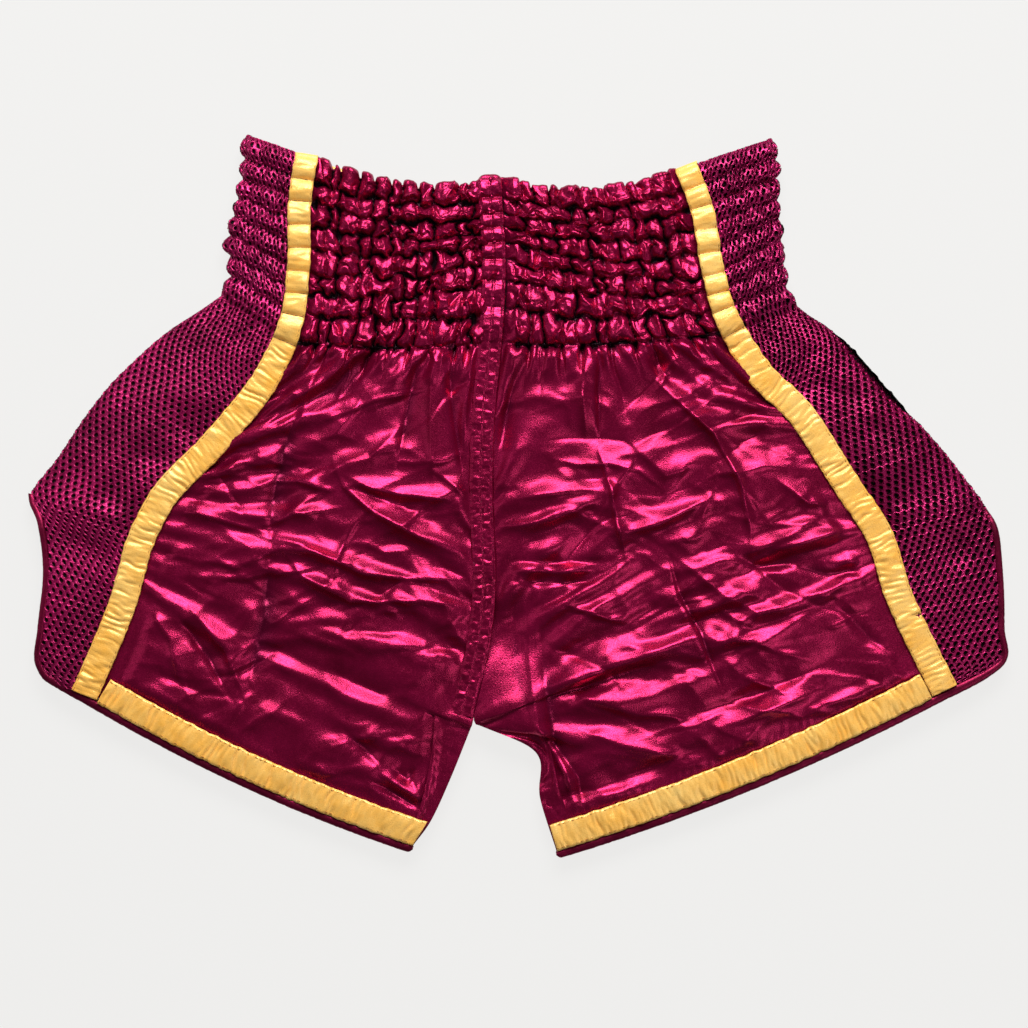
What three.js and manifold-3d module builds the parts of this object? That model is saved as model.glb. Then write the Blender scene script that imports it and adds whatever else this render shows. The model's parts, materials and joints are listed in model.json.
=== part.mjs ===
// Muay Thai style boxing shorts, lying flat with the front up.
//
// Millimetres, +Z up. The waist points to +Y, and the wearer's right is -X. The back lies on the
// ground and the front lies over it. Every cloth piece is a thin sheet laid in a shared flow of rows:
// a row number runs from 0 at the top of the waist, through 8 at the foot of the elastic waistband,
// to 20 at the hem. Each sheet is a box whose grid of points is moved into place.

import * as THREE from 'three';
import { mergeVertices } from 'three/addons/utils/BufferGeometryUtils.js';
import Module from 'manifold-3d';

const wasm = await Module();
wasm.setup();

// ---------------------------------------------------------------- driving dimensions

const LANES = 8;                  // elastic rows in the waistband
const HEM_ROW = 20;               // row number of the hem
const CROTCH_ROW = 16.4;
const VENT_ROW = 15.2;            // row number of the top of the side vent

const CLOTH = 0.8;                // thickness of one satin or mesh sheet, with its gathers
const LINING = 0.6;
const ELASTIC = 1.0;
const ELASTIC_SHARE = 0.75;       // part of a lane's height that the elastic fills
const FACING = 0.6;
const TRIM = 0.8;                 // ribbon, felled seam and gusset strip
const GAP = 0.3;                  // air between neighbouring pieces
const CHANNEL_AIR = 0.6;          // air round an elastic in its channel

const RIBBON_WIDTH = 15;
const WAIST_RIBBON_WIDTH = 12;    // the stripe is drawn in by the elastics
const HEM_SLOPE_COSINE = 0.9;     // the hem runs down at about 25 degrees
const BINDING_WIDTH = 3;
const BINDING_CLEARANCE = 1.1;    // from the binding to the mesh inside it
const HEM_DROP = 4.2;             // from the satin's foot to the binding's outer edge, along Y
const BINDING_START = 0.03;       // the binding starts this share of the edge below the vent's top
const BINDING_THICKNESS = 1.6;
const SEAM_BAND_WIDTH = 13;
const GUSSET_FOLD = 3.4;          // the gusset strip turns round the leg edge within this distance
const GUSSET_STOP = 0.75;         // rows between the gusset strip's foot and the hem
const FACING_MARGIN = 0.45;       // the facing stops this far from the side fold, in girth steps
const FACING_TOP = 0.15;          // row of the facing's upper edge
const HEM_RIBBON_START = 1.25;    // the hem ribbon's slanted end, in half widths of the stripe
const HEM_RIBBON_MITRE = 0.45;    // how far that end leans, in ribbon widths
const JOIN = 0.006;               // half the slit between two sheets, in steps round the girth

const FRONT_HEIGHT_AT_WAIST = 18.6;   // outer face of the front sheets at y = 175
const FRONT_HEIGHT_AT_HEM = 9.6;      // and at y = -195
const WAIST_Y = 175;
const HEM_Y = -195;
const BACK_HEIGHT = TRIM + GAP;       // outer face of the back sheets, above the trim they rest on
const FOLD_HEIGHT_AT_WAIST = 7;       // nose of the side fold
const FOLD_HEIGHT_AT_HEM = 4.6;
const VENT_SPREAD = 16;               // how far the side fold would reach past the vent edges
const VENT_OPENING_ROWS = 1.2;        // rows over which the fold opens out into the vent

// Grid steps of the sheets.
const SATIN_GRID = [5, 16];
const SIDE_GRID = [16, 20];
const FACING_GRID = [24, 8];
const GUSSET_GRID = [12, 6];
const STRIPE_STEPS = 24;
const SEAM_STEPS = 20;
const HEM_STEPS = 10;
const BINDING_STEPS = 30;
const ELASTIC_STEPS = 56;

const LINING_DEPTH = CLOTH + GAP;
const ELASTIC_DEPTH = LINING_DEPTH + LINING + CHANNEL_AIR;
const FACING_DEPTH = ELASTIC_DEPTH + ELASTIC + CHANNEL_AIR;

// Lines of the garment as knots [row, x, y]. The stripe lines are the middles of the ribbons.
const RIGHT = {
  side: [[0, -150, 197], [2, -151, 174], [5, -158, 143], [8, -164, 109], [9.7, -194, 89],
    [11.7, -225, 60], [14, -254, 20], [VENT_ROW, -269, -2], [16, -264, -16], [17, -261, -40],
    [18.5, -264, -74], [19.6, -265, -95], [HEM_ROW, -261, -102]],
  frontStripe: [[0, -115, 184], [2, -118.5, 160], [5, -119.5, 122], [8, -127, 84], [9.4, -139, 61],
    [11.5, -165, 29], [13.8, -195, -3], [15.1, -206, -24], [17, -216, -58], [HEM_ROW, -238, -111]],
  backStripe: [[0, -97, 178], [2, -103, 157], [5, -112, 121], [8, -126, 84], [9.4, -139, 61],
    [11.5, -165, 29], [13.8, -195, -3], [15.1, -206, -24], [17, -216, -58], [HEM_ROW, -238, -111]],
  inseam: [[CROTCH_ROW, -24, -126], [17.6, -36, -156], [18.8, -47, -180], [HEM_ROW, -57, -194]],
  gussetTop: 16.55,
  gusset: [[CROTCH_ROW, -45, -120], [17.6, -47, -144], [18.8, -53, -172], [HEM_ROW, -60, -190]],
};
const LEFT = {
  side: [[0, 142, 195], [2, 143, 174], [5, 146, 140], [8, 155, 103], [9.7, 178, 88],
    [11.7, 206, 57], [14, 241, 18], [VENT_ROW, 258, -6], [16, 265, -18], [17, 268, -42],
    [18.5, 269, -74], [19.6, 268, -95], [HEM_ROW, 258, -102]],
  frontStripe: [[0, 93, 178], [2, 101, 157], [5, 108, 120], [8, 119, 89], [9.4, 133, 67],
    [11.5, 156, 44], [13.8, 182, 4], [15.1, 198, -20], [17, 210, -55], [HEM_ROW, 236, -109]],
  backStripe: [[0, 93, 178], [2, 101, 157], [5, 108, 120], [8, 119, 89], [9.4, 133, 67],
    [11.5, 156, 44], [13.8, 182, 4], [15.1, 198, -20], [17, 210, -55], [HEM_ROW, 236, -109]],
  inseam: [[CROTCH_ROW, -24, -126], [17.4, 9, -141], [18.7, 13, -168], [HEM_ROW, 22, -197]],
  gussetTop: 17.7,
  gusset: [[CROTCH_ROW, -8, -112], [17.4, 14, -132], [18.7, 24, -164], [HEM_ROW, 33, -192]],
};
const CENTRE = [[0, -8, 173], [8, -8, 83], [9.8, -12, 40], [11.2, -13, 6], [14, -12, -62],
  [16, -20, -108], [CROTCH_ROW, -24, -122]];
const SAG = [[0, 9], [8, 3], [14, 0], [HEM_ROW, 6]];   // how far a satin row bows towards the hem

const COLOURS = {
  satin: { color: 0x8c0f45, roughness: 0.3, metalness: 0.2 },
  mesh: { color: 0x6e1640, roughness: 0.7, metalness: 0 },
  lining: { color: 0x0d0a0c, roughness: 0.85, metalness: 0 },
  ribbon: { color: 0xe2ad54, roughness: 0.35, metalness: 0.15 },
  binding: { color: 0x7a0f35, roughness: 0.6, metalness: 0 },
  elastic: { color: 0xe8e6e0, roughness: 0.8, metalness: 0 },
};

// ---------------------------------------------------------------- lines and heights

// A smooth line through knots [row, value, ...], as a function of the row.
function along(knots) {
  const rows = knots.map((knot) => knot[0]);
  const width = knots[0].length - 1;
  const values = knots.flatMap((knot) => knot.slice(1));
  const curve = new THREE.CubicInterpolant(rows, values, width, new Float64Array(width));
  const first = rows[0];
  const last = rows[rows.length - 1];
  return (row) => Array.from(curve.evaluate(THREE.MathUtils.clamp(row, first, last)));
}

function smoothLines(half) {
  const smooth = ([name, knots]) => [name, Array.isArray(knots) ? along(knots) : knots];
  return Object.fromEntries(Object.entries(half).map(smooth));
}

const rightLines = smoothLines(RIGHT);
const leftLines = smoothLines(LEFT);
const centreLine = along(CENTRE);
const sag = along(SAG);

// The edge of the satin between the legs: the centre seam, then the inseam inside the gusset's fold.
function innerEdge(half, row) {
  if (row <= CROTCH_ROW) return centreLine(row);
  const [x, y] = half.inseam(row);
  const towardsLeg = half === rightLines ? -1 : 1;
  return [x + towardsLeg * (GUSSET_FOLD + GAP), y + GAP];
}

function frontHeight(y) {
  return THREE.MathUtils.mapLinear(y, HEM_Y, WAIST_Y, FRONT_HEIGHT_AT_HEM, FRONT_HEIGHT_AT_WAIST);
}

function foldHeight(y) {
  return THREE.MathUtils.mapLinear(y, HEM_Y, WAIST_Y, FOLD_HEIGHT_AT_HEM, FOLD_HEIGHT_AT_WAIST);
}

// How far the roll of the side zone would reach past its edge: nothing down to the vent's top.
function ventSpread(row) {
  return VENT_SPREAD * THREE.MathUtils.smoothstep(row, VENT_ROW, VENT_ROW + VENT_OPENING_ROWS);
}

const blend = (a, b, share) => a.map((value, i) => THREE.MathUtils.lerp(value, b[i], share));

// The side zone, where the mesh panel rolls from the front stripe round the fold to the back stripe.
// turn runs from 0 at the stripe to 1 at the fold. Below the vent's top the roll opens out.
function sidePoint(half, stripe, front, turn, row, depth) {
  const from = half[stripe](row);
  const to = half.side(row);
  const reach = Math.abs(to[0] - from[0]);
  const spread = ventSpread(row);
  const share = Math.sin(turn * Math.PI / 2);
  const [x, y] = blend(from, to, share * (reach + spread - depth) / reach);
  const fall = Math.cos(turn * Math.PI / 2);
  const fold = foldHeight(y);
  const z = front
    ? fold + (frontHeight(y) - fold - depth) * fall
    : fold - (fold - BACK_HEIGHT - depth) * fall;
  return new THREE.Vector3(x, y, z);
}

function satinPoint(half, stripe, front, share, row, depth) {
  const [x, y] = blend(half[stripe](row), innerEdge(half, row), share);
  const bowed = y - sag(row)[0] * 4 * share * (1 - share);
  return new THREE.Vector3(x, bowed, front ? frontHeight(bowed) - depth : BACK_HEIGHT + depth);
}

// A place in the garment. girth runs once round the body: 0 right side fold, 1 right front stripe,
// 2 centre front, 3 left front stripe, 4 left side fold, 5 left back stripe, 6 centre back,
// 7 right back stripe, 8 right side fold again. depth is measured inward from the outer face.
function garment(girth, row, depth) {
  const g = THREE.MathUtils.euclideanModulo(girth, 8);
  const front = g <= 4;
  const half = g <= 2 || g >= 6 ? rightLines : leftLines;
  const stripe = front ? 'frontStripe' : 'backStripe';
  const fromSide = half === rightLines ? Math.min(g, 8 - g) : Math.abs(g - 4);
  if (fromSide <= 1) return sidePoint(half, stripe, front, 1 - fromSide, row, depth);
  return satinPoint(half, stripe, front, fromSide - 1, row, depth);
}

// ---------------------------------------------------------------- sheet builders

function closed(geometry) {
  geometry.deleteAttribute('normal');
  geometry.deleteAttribute('uv');
  return mergeVertices(geometry, 1e-3);
}

// Swap each triangle's winding when the moved points have turned a solid inside out.
function facingOut(geometry) {
  const place = geometry.attributes.position;
  const index = geometry.index.array;
  const [a, b, c] = [new THREE.Vector3(), new THREE.Vector3(), new THREE.Vector3()];
  let volume = 0;
  for (let i = 0; i < index.length; i += 3) {
    a.fromBufferAttribute(place, index[i]);
    b.fromBufferAttribute(place, index[i + 1]);
    c.fromBufferAttribute(place, index[i + 2]);
    volume += a.dot(b.cross(c));
  }
  if (volume < 0) {
    for (let i = 0; i < index.length; i += 3) [index[i], index[i + 1]] = [index[i + 1], index[i]];
  }
  return geometry;
}

// A thin box bent into a sheet: place(u, v, outer) gives each corner of its across by down grid.
function sheet(across, down, place) {
  const geometry = closed(new THREE.BoxGeometry(1, 1, 1, across, down, 1));
  const points = geometry.attributes.position;
  for (let i = 0; i < points.count; i++) {
    const p = place(points.getX(i) + 0.5, 0.5 - points.getY(i), points.getZ(i) > 0);
    points.setXYZ(i, p.x, p.y, p.z);
  }
  return facingOut(geometry);
}

// A sheet of the garment between two girths and two rows, at a depth below the outer face.
function clothSheet(girths, rows, depth, thickness, across, down) {
  return sheet(across, down, (u, v, outer) => garment(
    THREE.MathUtils.lerp(girths[0], girths[1], u),
    THREE.MathUtils.lerp(rows[0], rows[1], v),
    outer ? depth : depth + thickness));
}

// Height of the outer face at one spot, from the place in the garment with that x and y.
function heightNear(half, stripe, front, point, row) {
  const from = half[stripe](row);
  const inside = Math.abs(point[0]) <= Math.abs(from[0]);
  if (inside) return front ? frontHeight(point[1]) : BACK_HEIGHT;
  const reach = Math.abs(half.side(row)[0] - from[0]);
  const share = Math.min(1, (Math.abs(point[0]) - Math.abs(from[0])) / (reach + ventSpread(row)));
  return sidePoint(half, stripe, front, Math.asin(share) * 2 / Math.PI, row, 0).z;
}

// Left-hand normal of a line at a row, in the XY plane.
function sideways(line, row, first, last) {
  const step = 0.05;
  const a = line(Math.max(first, row - step));
  const b = line(Math.min(last, row + step));
  const length = Math.hypot(b[0] - a[0], b[1] - a[1]);
  return [-(b[1] - a[1]) / length, (b[0] - a[0]) / length];
}

// A strip of trim sewn over the front or under the back, along a line of the garment.
function trimStrip(line, rows, low, high, front, down) {
  return sheet(1, down, (u, v, outer) => {
    const row = THREE.MathUtils.lerp(rows[0], rows[1], v);
    const [x, y] = line(row);
    const [nx, ny] = sideways(line, row, rows[0], rows[1]);
    const offset = THREE.MathUtils.lerp(low(row), high(row), u);
    const px = x + nx * offset;
    const py = y + ny * offset;
    const base = front ? frontHeight(py) + GAP : 0;
    return new THREE.Vector3(px, py, base + (outer ? TRIM : 0));
  });
}

function subtract(geometry, cutter) {
  const solid = (g) => new wasm.Manifold(new wasm.Mesh({
    numProp: 3,
    vertProperties: Float32Array.from(g.attributes.position.array),
    triVerts: Uint32Array.from(g.index.array),
  }));
  const cut = solid(geometry).subtract(solid(cutter)).getMesh();
  const result = new THREE.BufferGeometry();
  result.setAttribute('position', new THREE.BufferAttribute(cut.vertProperties, 3));
  result.setIndex(new THREE.BufferAttribute(cut.triVerts, 1));
  return result;
}

// ---------------------------------------------------------------- the outline of vent and hem

// Points from the vent's top down the vent edge, round the corner and along the hem to the inseam.
function openingEdge(half) {
  const points = [];
  for (let row = VENT_ROW; row < HEM_ROW; row += 0.6) points.push(half.side(row));
  points.push(half.side(HEM_ROW));
  const bottomSteps = 8;
  for (let i = 0; i <= bottomSteps; i++) {
    const p = satinPoint(half, 'frontStripe', true, i / bottomSteps, HEM_ROW, 0);
    points.push([p.x, p.y - HEM_DROP]);
  }
  return new THREE.SplineCurve(points.map(([x, y]) => new THREE.Vector2(x, y)));
}

// The opening edge moved inward by a distance.
function insetEdge(half, distance, count, start = 0) {
  const curve = openingEdge(half);
  const inward = half === rightLines ? 1 : -1;
  return Array.from({ length: count + 1 }, (_, i) => {
    const share = THREE.MathUtils.lerp(start, 1, i / count);
    const at = curve.getPointAt(share);
    const tangent = curve.getTangentAt(share);
    return new THREE.Vector2(at.x - tangent.y * distance * inward, at.y + tangent.x * distance * inward);
  });
}

// A block over everything outside the vent and hem edge, which opens the fold into a side vent.
function ventCutter(half, inset) {
  const count = 30;
  const sign = half === rightLines ? -1 : 1;
  const edge = insetEdge(half, inset, count);
  const shape = new THREE.Shape(edge);
  shape.lineTo(edge[count].x, -260);
  shape.lineTo(sign * 330, -260);
  shape.lineTo(sign * 330, edge[0].y);
  const block = new THREE.ExtrudeGeometry(shape, { depth: 60, bevelEnabled: false });
  block.translate(0, 0, -20);
  return closed(block);
}

// ---------------------------------------------------------------- the pieces

const shorts = new THREE.Group();
const materials = Object.fromEntries(
  Object.entries(COLOURS).map(([name, look]) => [name, new THREE.MeshStandardMaterial(look)]));

function add(name, material, geometry) {
  const mesh = new THREE.Mesh(geometry, materials[material]);
  mesh.name = name;
  shorts.add(mesh);
}

function satinPanels() {
  const quarters = {
    front_right_panel: [1, 2], front_left_panel: [2, 3], back_left_panel: [5, 6], back_right_panel: [6, 7],
  };
  for (const [name, [from, to]] of Object.entries(quarters)) {
    add(name, 'satin', clothSheet([from + JOIN, to - JOIN], [0, HEM_ROW], 0, CLOTH, ...SATIN_GRID));
  }
}

function meshPanelsAndLinings() {
  const sides = { right: [rightLines, -1], left: [leftLines, 3] };
  for (const [side, [half, from]] of Object.entries(sides)) {
    const girths = [from + JOIN, from + 2 - JOIN];
    const rows = [0, HEM_ROW];
    const mesh = clothSheet(girths, rows, 0, CLOTH, ...SIDE_GRID);
    const lining = clothSheet(girths, rows, LINING_DEPTH, LINING, ...SIDE_GRID);
    const bindingEdge = BINDING_WIDTH + BINDING_CLEARANCE;
    add(`${side}_mesh_panel`, 'mesh', subtract(mesh, ventCutter(half, bindingEdge)));
    add(`${side}_mesh_lining`, 'lining', subtract(lining, ventCutter(half, bindingEdge + CHANNEL_AIR)));
  }
}

function stripeHalfWidth(row) {
  return THREE.MathUtils.lerp(WAIST_RIBBON_WIDTH, RIBBON_WIDTH, THREE.MathUtils.smoothstep(row, 6, 10)) / 2;
}

function stripes() {
  for (const [side, half] of [['right', rightLines], ['left', leftLines]]) {
    for (const face of ['front', 'back']) {
      add(`${face}_${side}_stripe`, 'ribbon', trimStrip(half[`${face}Stripe`], [0, HEM_ROW],
        (row) => -stripeHalfWidth(row), stripeHalfWidth, face === 'front', STRIPE_STEPS));
    }
  }
}

// The hem ribbon lies inside the hem, from the stripe's inner edge to the inseam.
function hemRibbons() {
  for (const [side, half] of [['right', rightLines], ['left', leftLines]]) {
    for (const front of [true, false]) {
      const stripeInner = stripeHalfWidth(HEM_ROW) * HEM_RIBBON_START + GAP;
      const inner = innerEdge(half, HEM_ROW)[0];
      const outer = half.frontStripe(HEM_ROW)[0];
      const start = stripeInner / Math.abs(inner - outer);
      const mitre = HEM_RIBBON_MITRE * RIBBON_WIDTH * Math.sign(inner - outer);
      const geometry = sheet(HEM_STEPS, 1, (u, v, outerFace) => {
        const share = THREE.MathUtils.lerp(start, 1, u);
        const p = satinPoint(half, 'frontStripe', front, share, HEM_ROW, 0);
        const y = p.y + v * RIBBON_WIDTH / HEM_SLOPE_COSINE;
        const z = front ? frontHeight(y) + GAP : 0;
        return new THREE.Vector3(p.x + mitre * v * (1 - u), y, z + (outerFace ? TRIM : 0));
      });
      add(`${front ? 'front' : 'back'}_${side}_hem_ribbon`, 'ribbon', geometry);
    }
  }
}

// The binding is folded over the raw edge; here it is a bar just outside the sheets' edge.
function bindings() {
  for (const [side, half] of [['right', rightLines], ['left', leftLines]]) {
    const outline = insetEdge(half, 0, BINDING_STEPS, BINDING_START);
    const inside = insetEdge(half, BINDING_WIDTH, BINDING_STEPS, BINDING_START);
    for (const front of [true, false]) {
      const middle = front ? -CLOTH / 2 : CLOTH / 2;
      const geometry = sheet(1, BINDING_STEPS, (u, v, outerFace) => {
        const i = Math.round(v * BINDING_STEPS);
        const p = new THREE.Vector2().lerpVectors(outline[i], inside[i], u);
        const row = rowOfEdge(half, outline[i].y);
        const z = heightNear(half, 'frontStripe', front, [p.x, p.y], row) + middle;
        return new THREE.Vector3(p.x, p.y, z + (outerFace ? 0.5 : -0.5) * BINDING_THICKNESS);
      });
      add(`${front ? 'front' : 'back'}_${side}_binding`, 'binding', geometry);
    }
  }
}

// Row number of the side edge at a height: it grows down the vent, and stays at the hem's row below.
function rowOfEdge(half, y) {
  let row = VENT_ROW;
  while (row < HEM_ROW && half.side(row)[1] > y) row += 0.05;
  return Math.min(row, HEM_ROW);
}

// The felled seam: a band of turned cloth on the wearer's right of the centre seam.
function centreSeams() {
  const rows = [0, CROTCH_ROW];
  const band = (front) => trimStrip(centreLine, rows, () => -SEAM_BAND_WIDTH, () => 0, front, SEAM_STEPS);
  add('centre_front_seam', 'satin', band(true));
  add('centre_back_seam', 'satin', band(false));
}

// The gusset strip covers the inseam of one leg and turns round its edge from front to back.
function gussets() {
  const flat = 0.3;
  for (const [side, half] of [['right', rightLines], ['left', leftLines]]) {
    const geometry = sheet(...GUSSET_GRID, (u, v, outerFace) => {
      const row = THREE.MathUtils.lerp(half.gussetTop, HEM_ROW - GUSSET_STOP, v);
      const inner = half.gusset(row);
      const edge = half.inseam(row);
      const inset = outerFace ? 0 : TRIM;
      const length = Math.hypot(edge[0] - inner[0], edge[1] - inner[1]);
      const bendStart = Math.max(0, 1 - GUSSET_FOLD / length);
      const fromFront = u < flat;
      const fromBack = u > 1 - flat;
      const angle = Math.PI * THREE.MathUtils.clamp((u - flat) / (1 - 2 * flat), 0, 1);
      const reach = bendStart + (1 - bendStart) * Math.sin(angle) * (GUSSET_FOLD - inset) / GUSSET_FOLD;
      const share = fromFront ? bendStart * u / flat : fromBack ? bendStart * (1 - u) / flat : reach;
      const [x, y] = blend(inner, edge, share);
      const top = frontHeight(y) + GAP + TRIM;
      const middle = top / 2;
      return new THREE.Vector3(x, y, middle + (middle - inset) * Math.cos(angle));
    });
    add(`${side}_inseam_gusset`, 'satin', geometry);
  }
}

function waistbandFacings() {
  for (const [face, firstFold] of [['front', 0], ['back', 4]]) {
    const girths = [firstFold + FACING_MARGIN, firstFold + 4 - FACING_MARGIN];
    const geometry = clothSheet(girths, [FACING_TOP, LANES], FACING_DEPTH, FACING, ...FACING_GRID);
    add(`${face}_waistband_facing`, 'satin', geometry);
  }
}

// A closed loop of elastic in the middle of each channel: a turned ring, drawn out to the waist.
function elastics() {
  const ring = [[1, 0], [2, 0], [2, 1], [1, 1], [1, 0]].map(([x, y]) => new THREE.Vector2(x, y));
  for (let lane = 0; lane < LANES; lane++) {
    const geometry = closed(new THREE.LatheGeometry(ring, ELASTIC_STEPS));
    const points = geometry.attributes.position;
    for (let i = 0; i < points.count; i++) {
      const [x, y, z] = [points.getX(i), points.getY(i), points.getZ(i)];
      const girth = Math.atan2(x, z) / (2 * Math.PI) * 8;
      const outer = Math.hypot(x, z) > 1.5;
      const row = lane + 0.5 + (0.5 - y) * ELASTIC_SHARE;
      const p = garment(girth, row, outer ? ELASTIC_DEPTH : ELASTIC_DEPTH + ELASTIC);
      points.setXYZ(i, p.x, p.y, p.z);
    }
    add(`waist_elastic_${lane + 1}`, 'elastic', facingOut(geometry));
  }
}

satinPanels();
meshPanelsAndLinings();
stripes();
hemRibbons();
bindings();
centreSeams();
gussets();
waistbandFacings();
elastics();

// The origin is the middle of the footprint, on the ground.
const box = new THREE.Box3().setFromObject(shorts);
const middle = box.getCenter(new THREE.Vector3());
shorts.position.set(-middle.x, -middle.y, -box.min.z);
shorts.updateMatrixWorld(true);

export default shorts;
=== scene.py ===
import json
import math

import bpy
import numpy as np
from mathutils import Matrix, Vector

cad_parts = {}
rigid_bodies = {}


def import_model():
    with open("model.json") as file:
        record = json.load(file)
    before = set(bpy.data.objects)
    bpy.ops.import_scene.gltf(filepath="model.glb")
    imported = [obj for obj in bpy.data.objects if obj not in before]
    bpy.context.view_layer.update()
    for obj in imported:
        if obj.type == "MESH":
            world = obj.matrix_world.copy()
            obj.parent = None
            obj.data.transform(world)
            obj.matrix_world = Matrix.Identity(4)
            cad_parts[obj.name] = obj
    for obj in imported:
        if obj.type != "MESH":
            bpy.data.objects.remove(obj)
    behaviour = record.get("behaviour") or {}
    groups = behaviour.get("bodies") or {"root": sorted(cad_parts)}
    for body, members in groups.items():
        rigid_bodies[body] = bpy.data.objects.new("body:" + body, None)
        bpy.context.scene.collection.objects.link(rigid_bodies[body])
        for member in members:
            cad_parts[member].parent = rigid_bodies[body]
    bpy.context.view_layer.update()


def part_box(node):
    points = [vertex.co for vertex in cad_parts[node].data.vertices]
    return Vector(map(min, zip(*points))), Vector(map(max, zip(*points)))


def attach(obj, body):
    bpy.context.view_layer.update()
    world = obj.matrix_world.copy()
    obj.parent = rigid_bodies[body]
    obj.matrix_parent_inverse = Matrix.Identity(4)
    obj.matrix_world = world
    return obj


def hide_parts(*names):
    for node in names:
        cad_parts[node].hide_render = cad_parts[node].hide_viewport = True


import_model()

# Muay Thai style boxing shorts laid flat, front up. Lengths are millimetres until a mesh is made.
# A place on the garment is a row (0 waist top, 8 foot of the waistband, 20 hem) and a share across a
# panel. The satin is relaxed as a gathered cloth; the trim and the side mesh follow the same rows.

MM = 0.001
LANES = 8                               # rows of gathers in the waistband
HEM_ROW = 20.0
CROTCH_ROW = 16.4
VENT_ROW = 15.2

RIBBON_WIDTH = 15.0
WAIST_RIBBON_WIDTH = 12.5
BINDING_HALF_WIDTH, BINDING_HALF_HEIGHT = 2.5, 1.05
BINDING_DROP = 3.75                     # how far the binding's outer edge lies below the ribbon
SEAM_BAND_WIDTH = 13.0
SEAM_STITCHES = (-0.85, 0.0, 0.85)      # rows of stitches across the centre seam's width
BACK_HEIGHT = 1.1                       # outer face of the back cloth above the floor
BACK_MIDDLE = 0.9                       # from there up to the middle of the back satin
FRONT_AT_WAIST, FRONT_AT_HEM = 18.6, 9.6
FOLD_AT_HEM, FOLD_RISE = 4.6, 2.4       # height of the fold at the garment's side, and its rise to the waist
WAIST_Y, HEM_Y = 175.0, -195.0

# Lines of each half as laid, through knots (row, x, y).
RIGHT = {
    "side": [(0, -150, 197), (2, -151, 174), (5, -158, 143), (8, -164, 109), (9.7, -194, 89),
             (11.7, -225, 60), (14, -254, 20), (VENT_ROW, -269, -2), (16, -264, -16),
             (17, -261, -40), (18.5, -264, -74), (19.6, -265, -95), (HEM_ROW, -261, -102)],
    "front_stripe": [(0, -115, 184), (2, -118.5, 160), (5, -119.5, 122), (8, -127, 84),
                     (9.4, -139, 61), (11.5, -165, 29), (13.8, -195, -3), (15.1, -206, -24),
                     (17, -216, -58), (HEM_ROW, -238, -111)],
    "inseam": [(CROTCH_ROW, -24, -126), (17.6, -36, -156), (18.8, -47, -180), (HEM_ROW, -57, -194)],
    "gusset": [(CROTCH_ROW, -45, -120), (17.6, -47, -144), (18.8, -53, -172), (HEM_ROW, -60, -190)],
    "name": "right",
    "sign": -1,
}
LEFT = {
    "side": [(0, 142, 195), (2, 143, 174), (5, 146, 140), (8, 155, 103), (9.7, 178, 88),
             (11.7, 206, 57), (14, 241, 18), (VENT_ROW, 258, -6), (16, 265, -18),
             (17, 268, -42), (18.5, 269, -74), (19.6, 268, -95), (HEM_ROW, 258, -102)],
    "front_stripe": [(0, 93, 178), (2, 101, 157), (5, 108, 120), (8, 119, 89), (9.4, 133, 67),
                     (11.5, 156, 44), (13.8, 182, 4), (15.1, 198, -20), (17, 210, -55),
                     (HEM_ROW, 236, -109)],
    "inseam": [(CROTCH_ROW, -24, -126), (17.4, 9, -141), (18.7, 13, -168), (HEM_ROW, 22, -197)],
    "gusset": [(CROTCH_ROW, -8, -112), (17.4, 14, -132), (18.7, 24, -164), (HEM_ROW, 33, -192)],
    "name": "left",
    "sign": 1,
}
LEFT["back_stripe"] = LEFT["front_stripe"]
RIGHT["back_stripe"] = ([(0, -97, 178), (2, -103, 157), (5, -112, 121), (8, -126, 84)]
                        + RIGHT["front_stripe"][4:])
QUARTERS = [(half, face) for half in (RIGHT, LEFT) for face in ("front", "back")]
# The centre seam, and how far the satin sags between its seams.
CENTRE = [(0, -8, 173), (8, -8, 83), (9.8, -12, 40), (11.2, -13, 6), (14, -12, -62),
          (16, -20, -108), (CROTCH_ROW, -24, -124)]
SAG = [(0, 9), (8, 3), (14, 0), (HEM_ROW, 6)]


# ---------------------------------------------------------------- lines, heights and noise

def along(knots):
    """A smooth line through knots (row, value, ...), as a function of rows."""
    table = np.array(knots, float)
    rows, values = table[:, 0], table[:, 1:]
    slopes = np.gradient(values, rows, axis=0)

    def line(row):
        row = np.clip(np.asarray(row, float), rows[0], rows[-1])
        i = np.clip(np.searchsorted(rows, row, side="right") - 1, 0, len(rows) - 2)
        span = rows[i + 1] - rows[i]
        t = ((row - rows[i]) / span)[..., None]
        span = span[..., None]
        return ((2 * t**3 - 3 * t**2 + 1) * values[i] + (t**3 - 2 * t**2 + t) * span * slopes[i]
                + (3 * t**2 - 2 * t**3) * values[i + 1] + (t**3 - t**2) * span * slopes[i + 1])

    return line


for half in (RIGHT, LEFT):
    for name in ("side", "front_stripe", "back_stripe", "inseam", "gusset"):
        half[name + "_line"] = along(half[name])
centre_line = along(CENTRE)
sag_line = along(SAG)


def front_height(y):
    return FRONT_AT_HEM + (y - HEM_Y) * (FRONT_AT_WAIST - FRONT_AT_HEM) / (WAIST_Y - HEM_Y)


def satin_height(y, front):
    """Height of the front or the back satin where it lies at rest."""
    return front_height(y) if front else np.full(np.shape(y), BACK_HEIGHT + BACK_MIDDLE)


def fold_height(y):
    return FOLD_AT_HEM + (y - HEM_Y) * FOLD_RISE / (WAIST_Y - HEM_Y)


def smooth(value, low, high):
    t = np.clip((value - low) / (high - low), 0, 1)
    return t * t * (3 - 2 * t)


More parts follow.
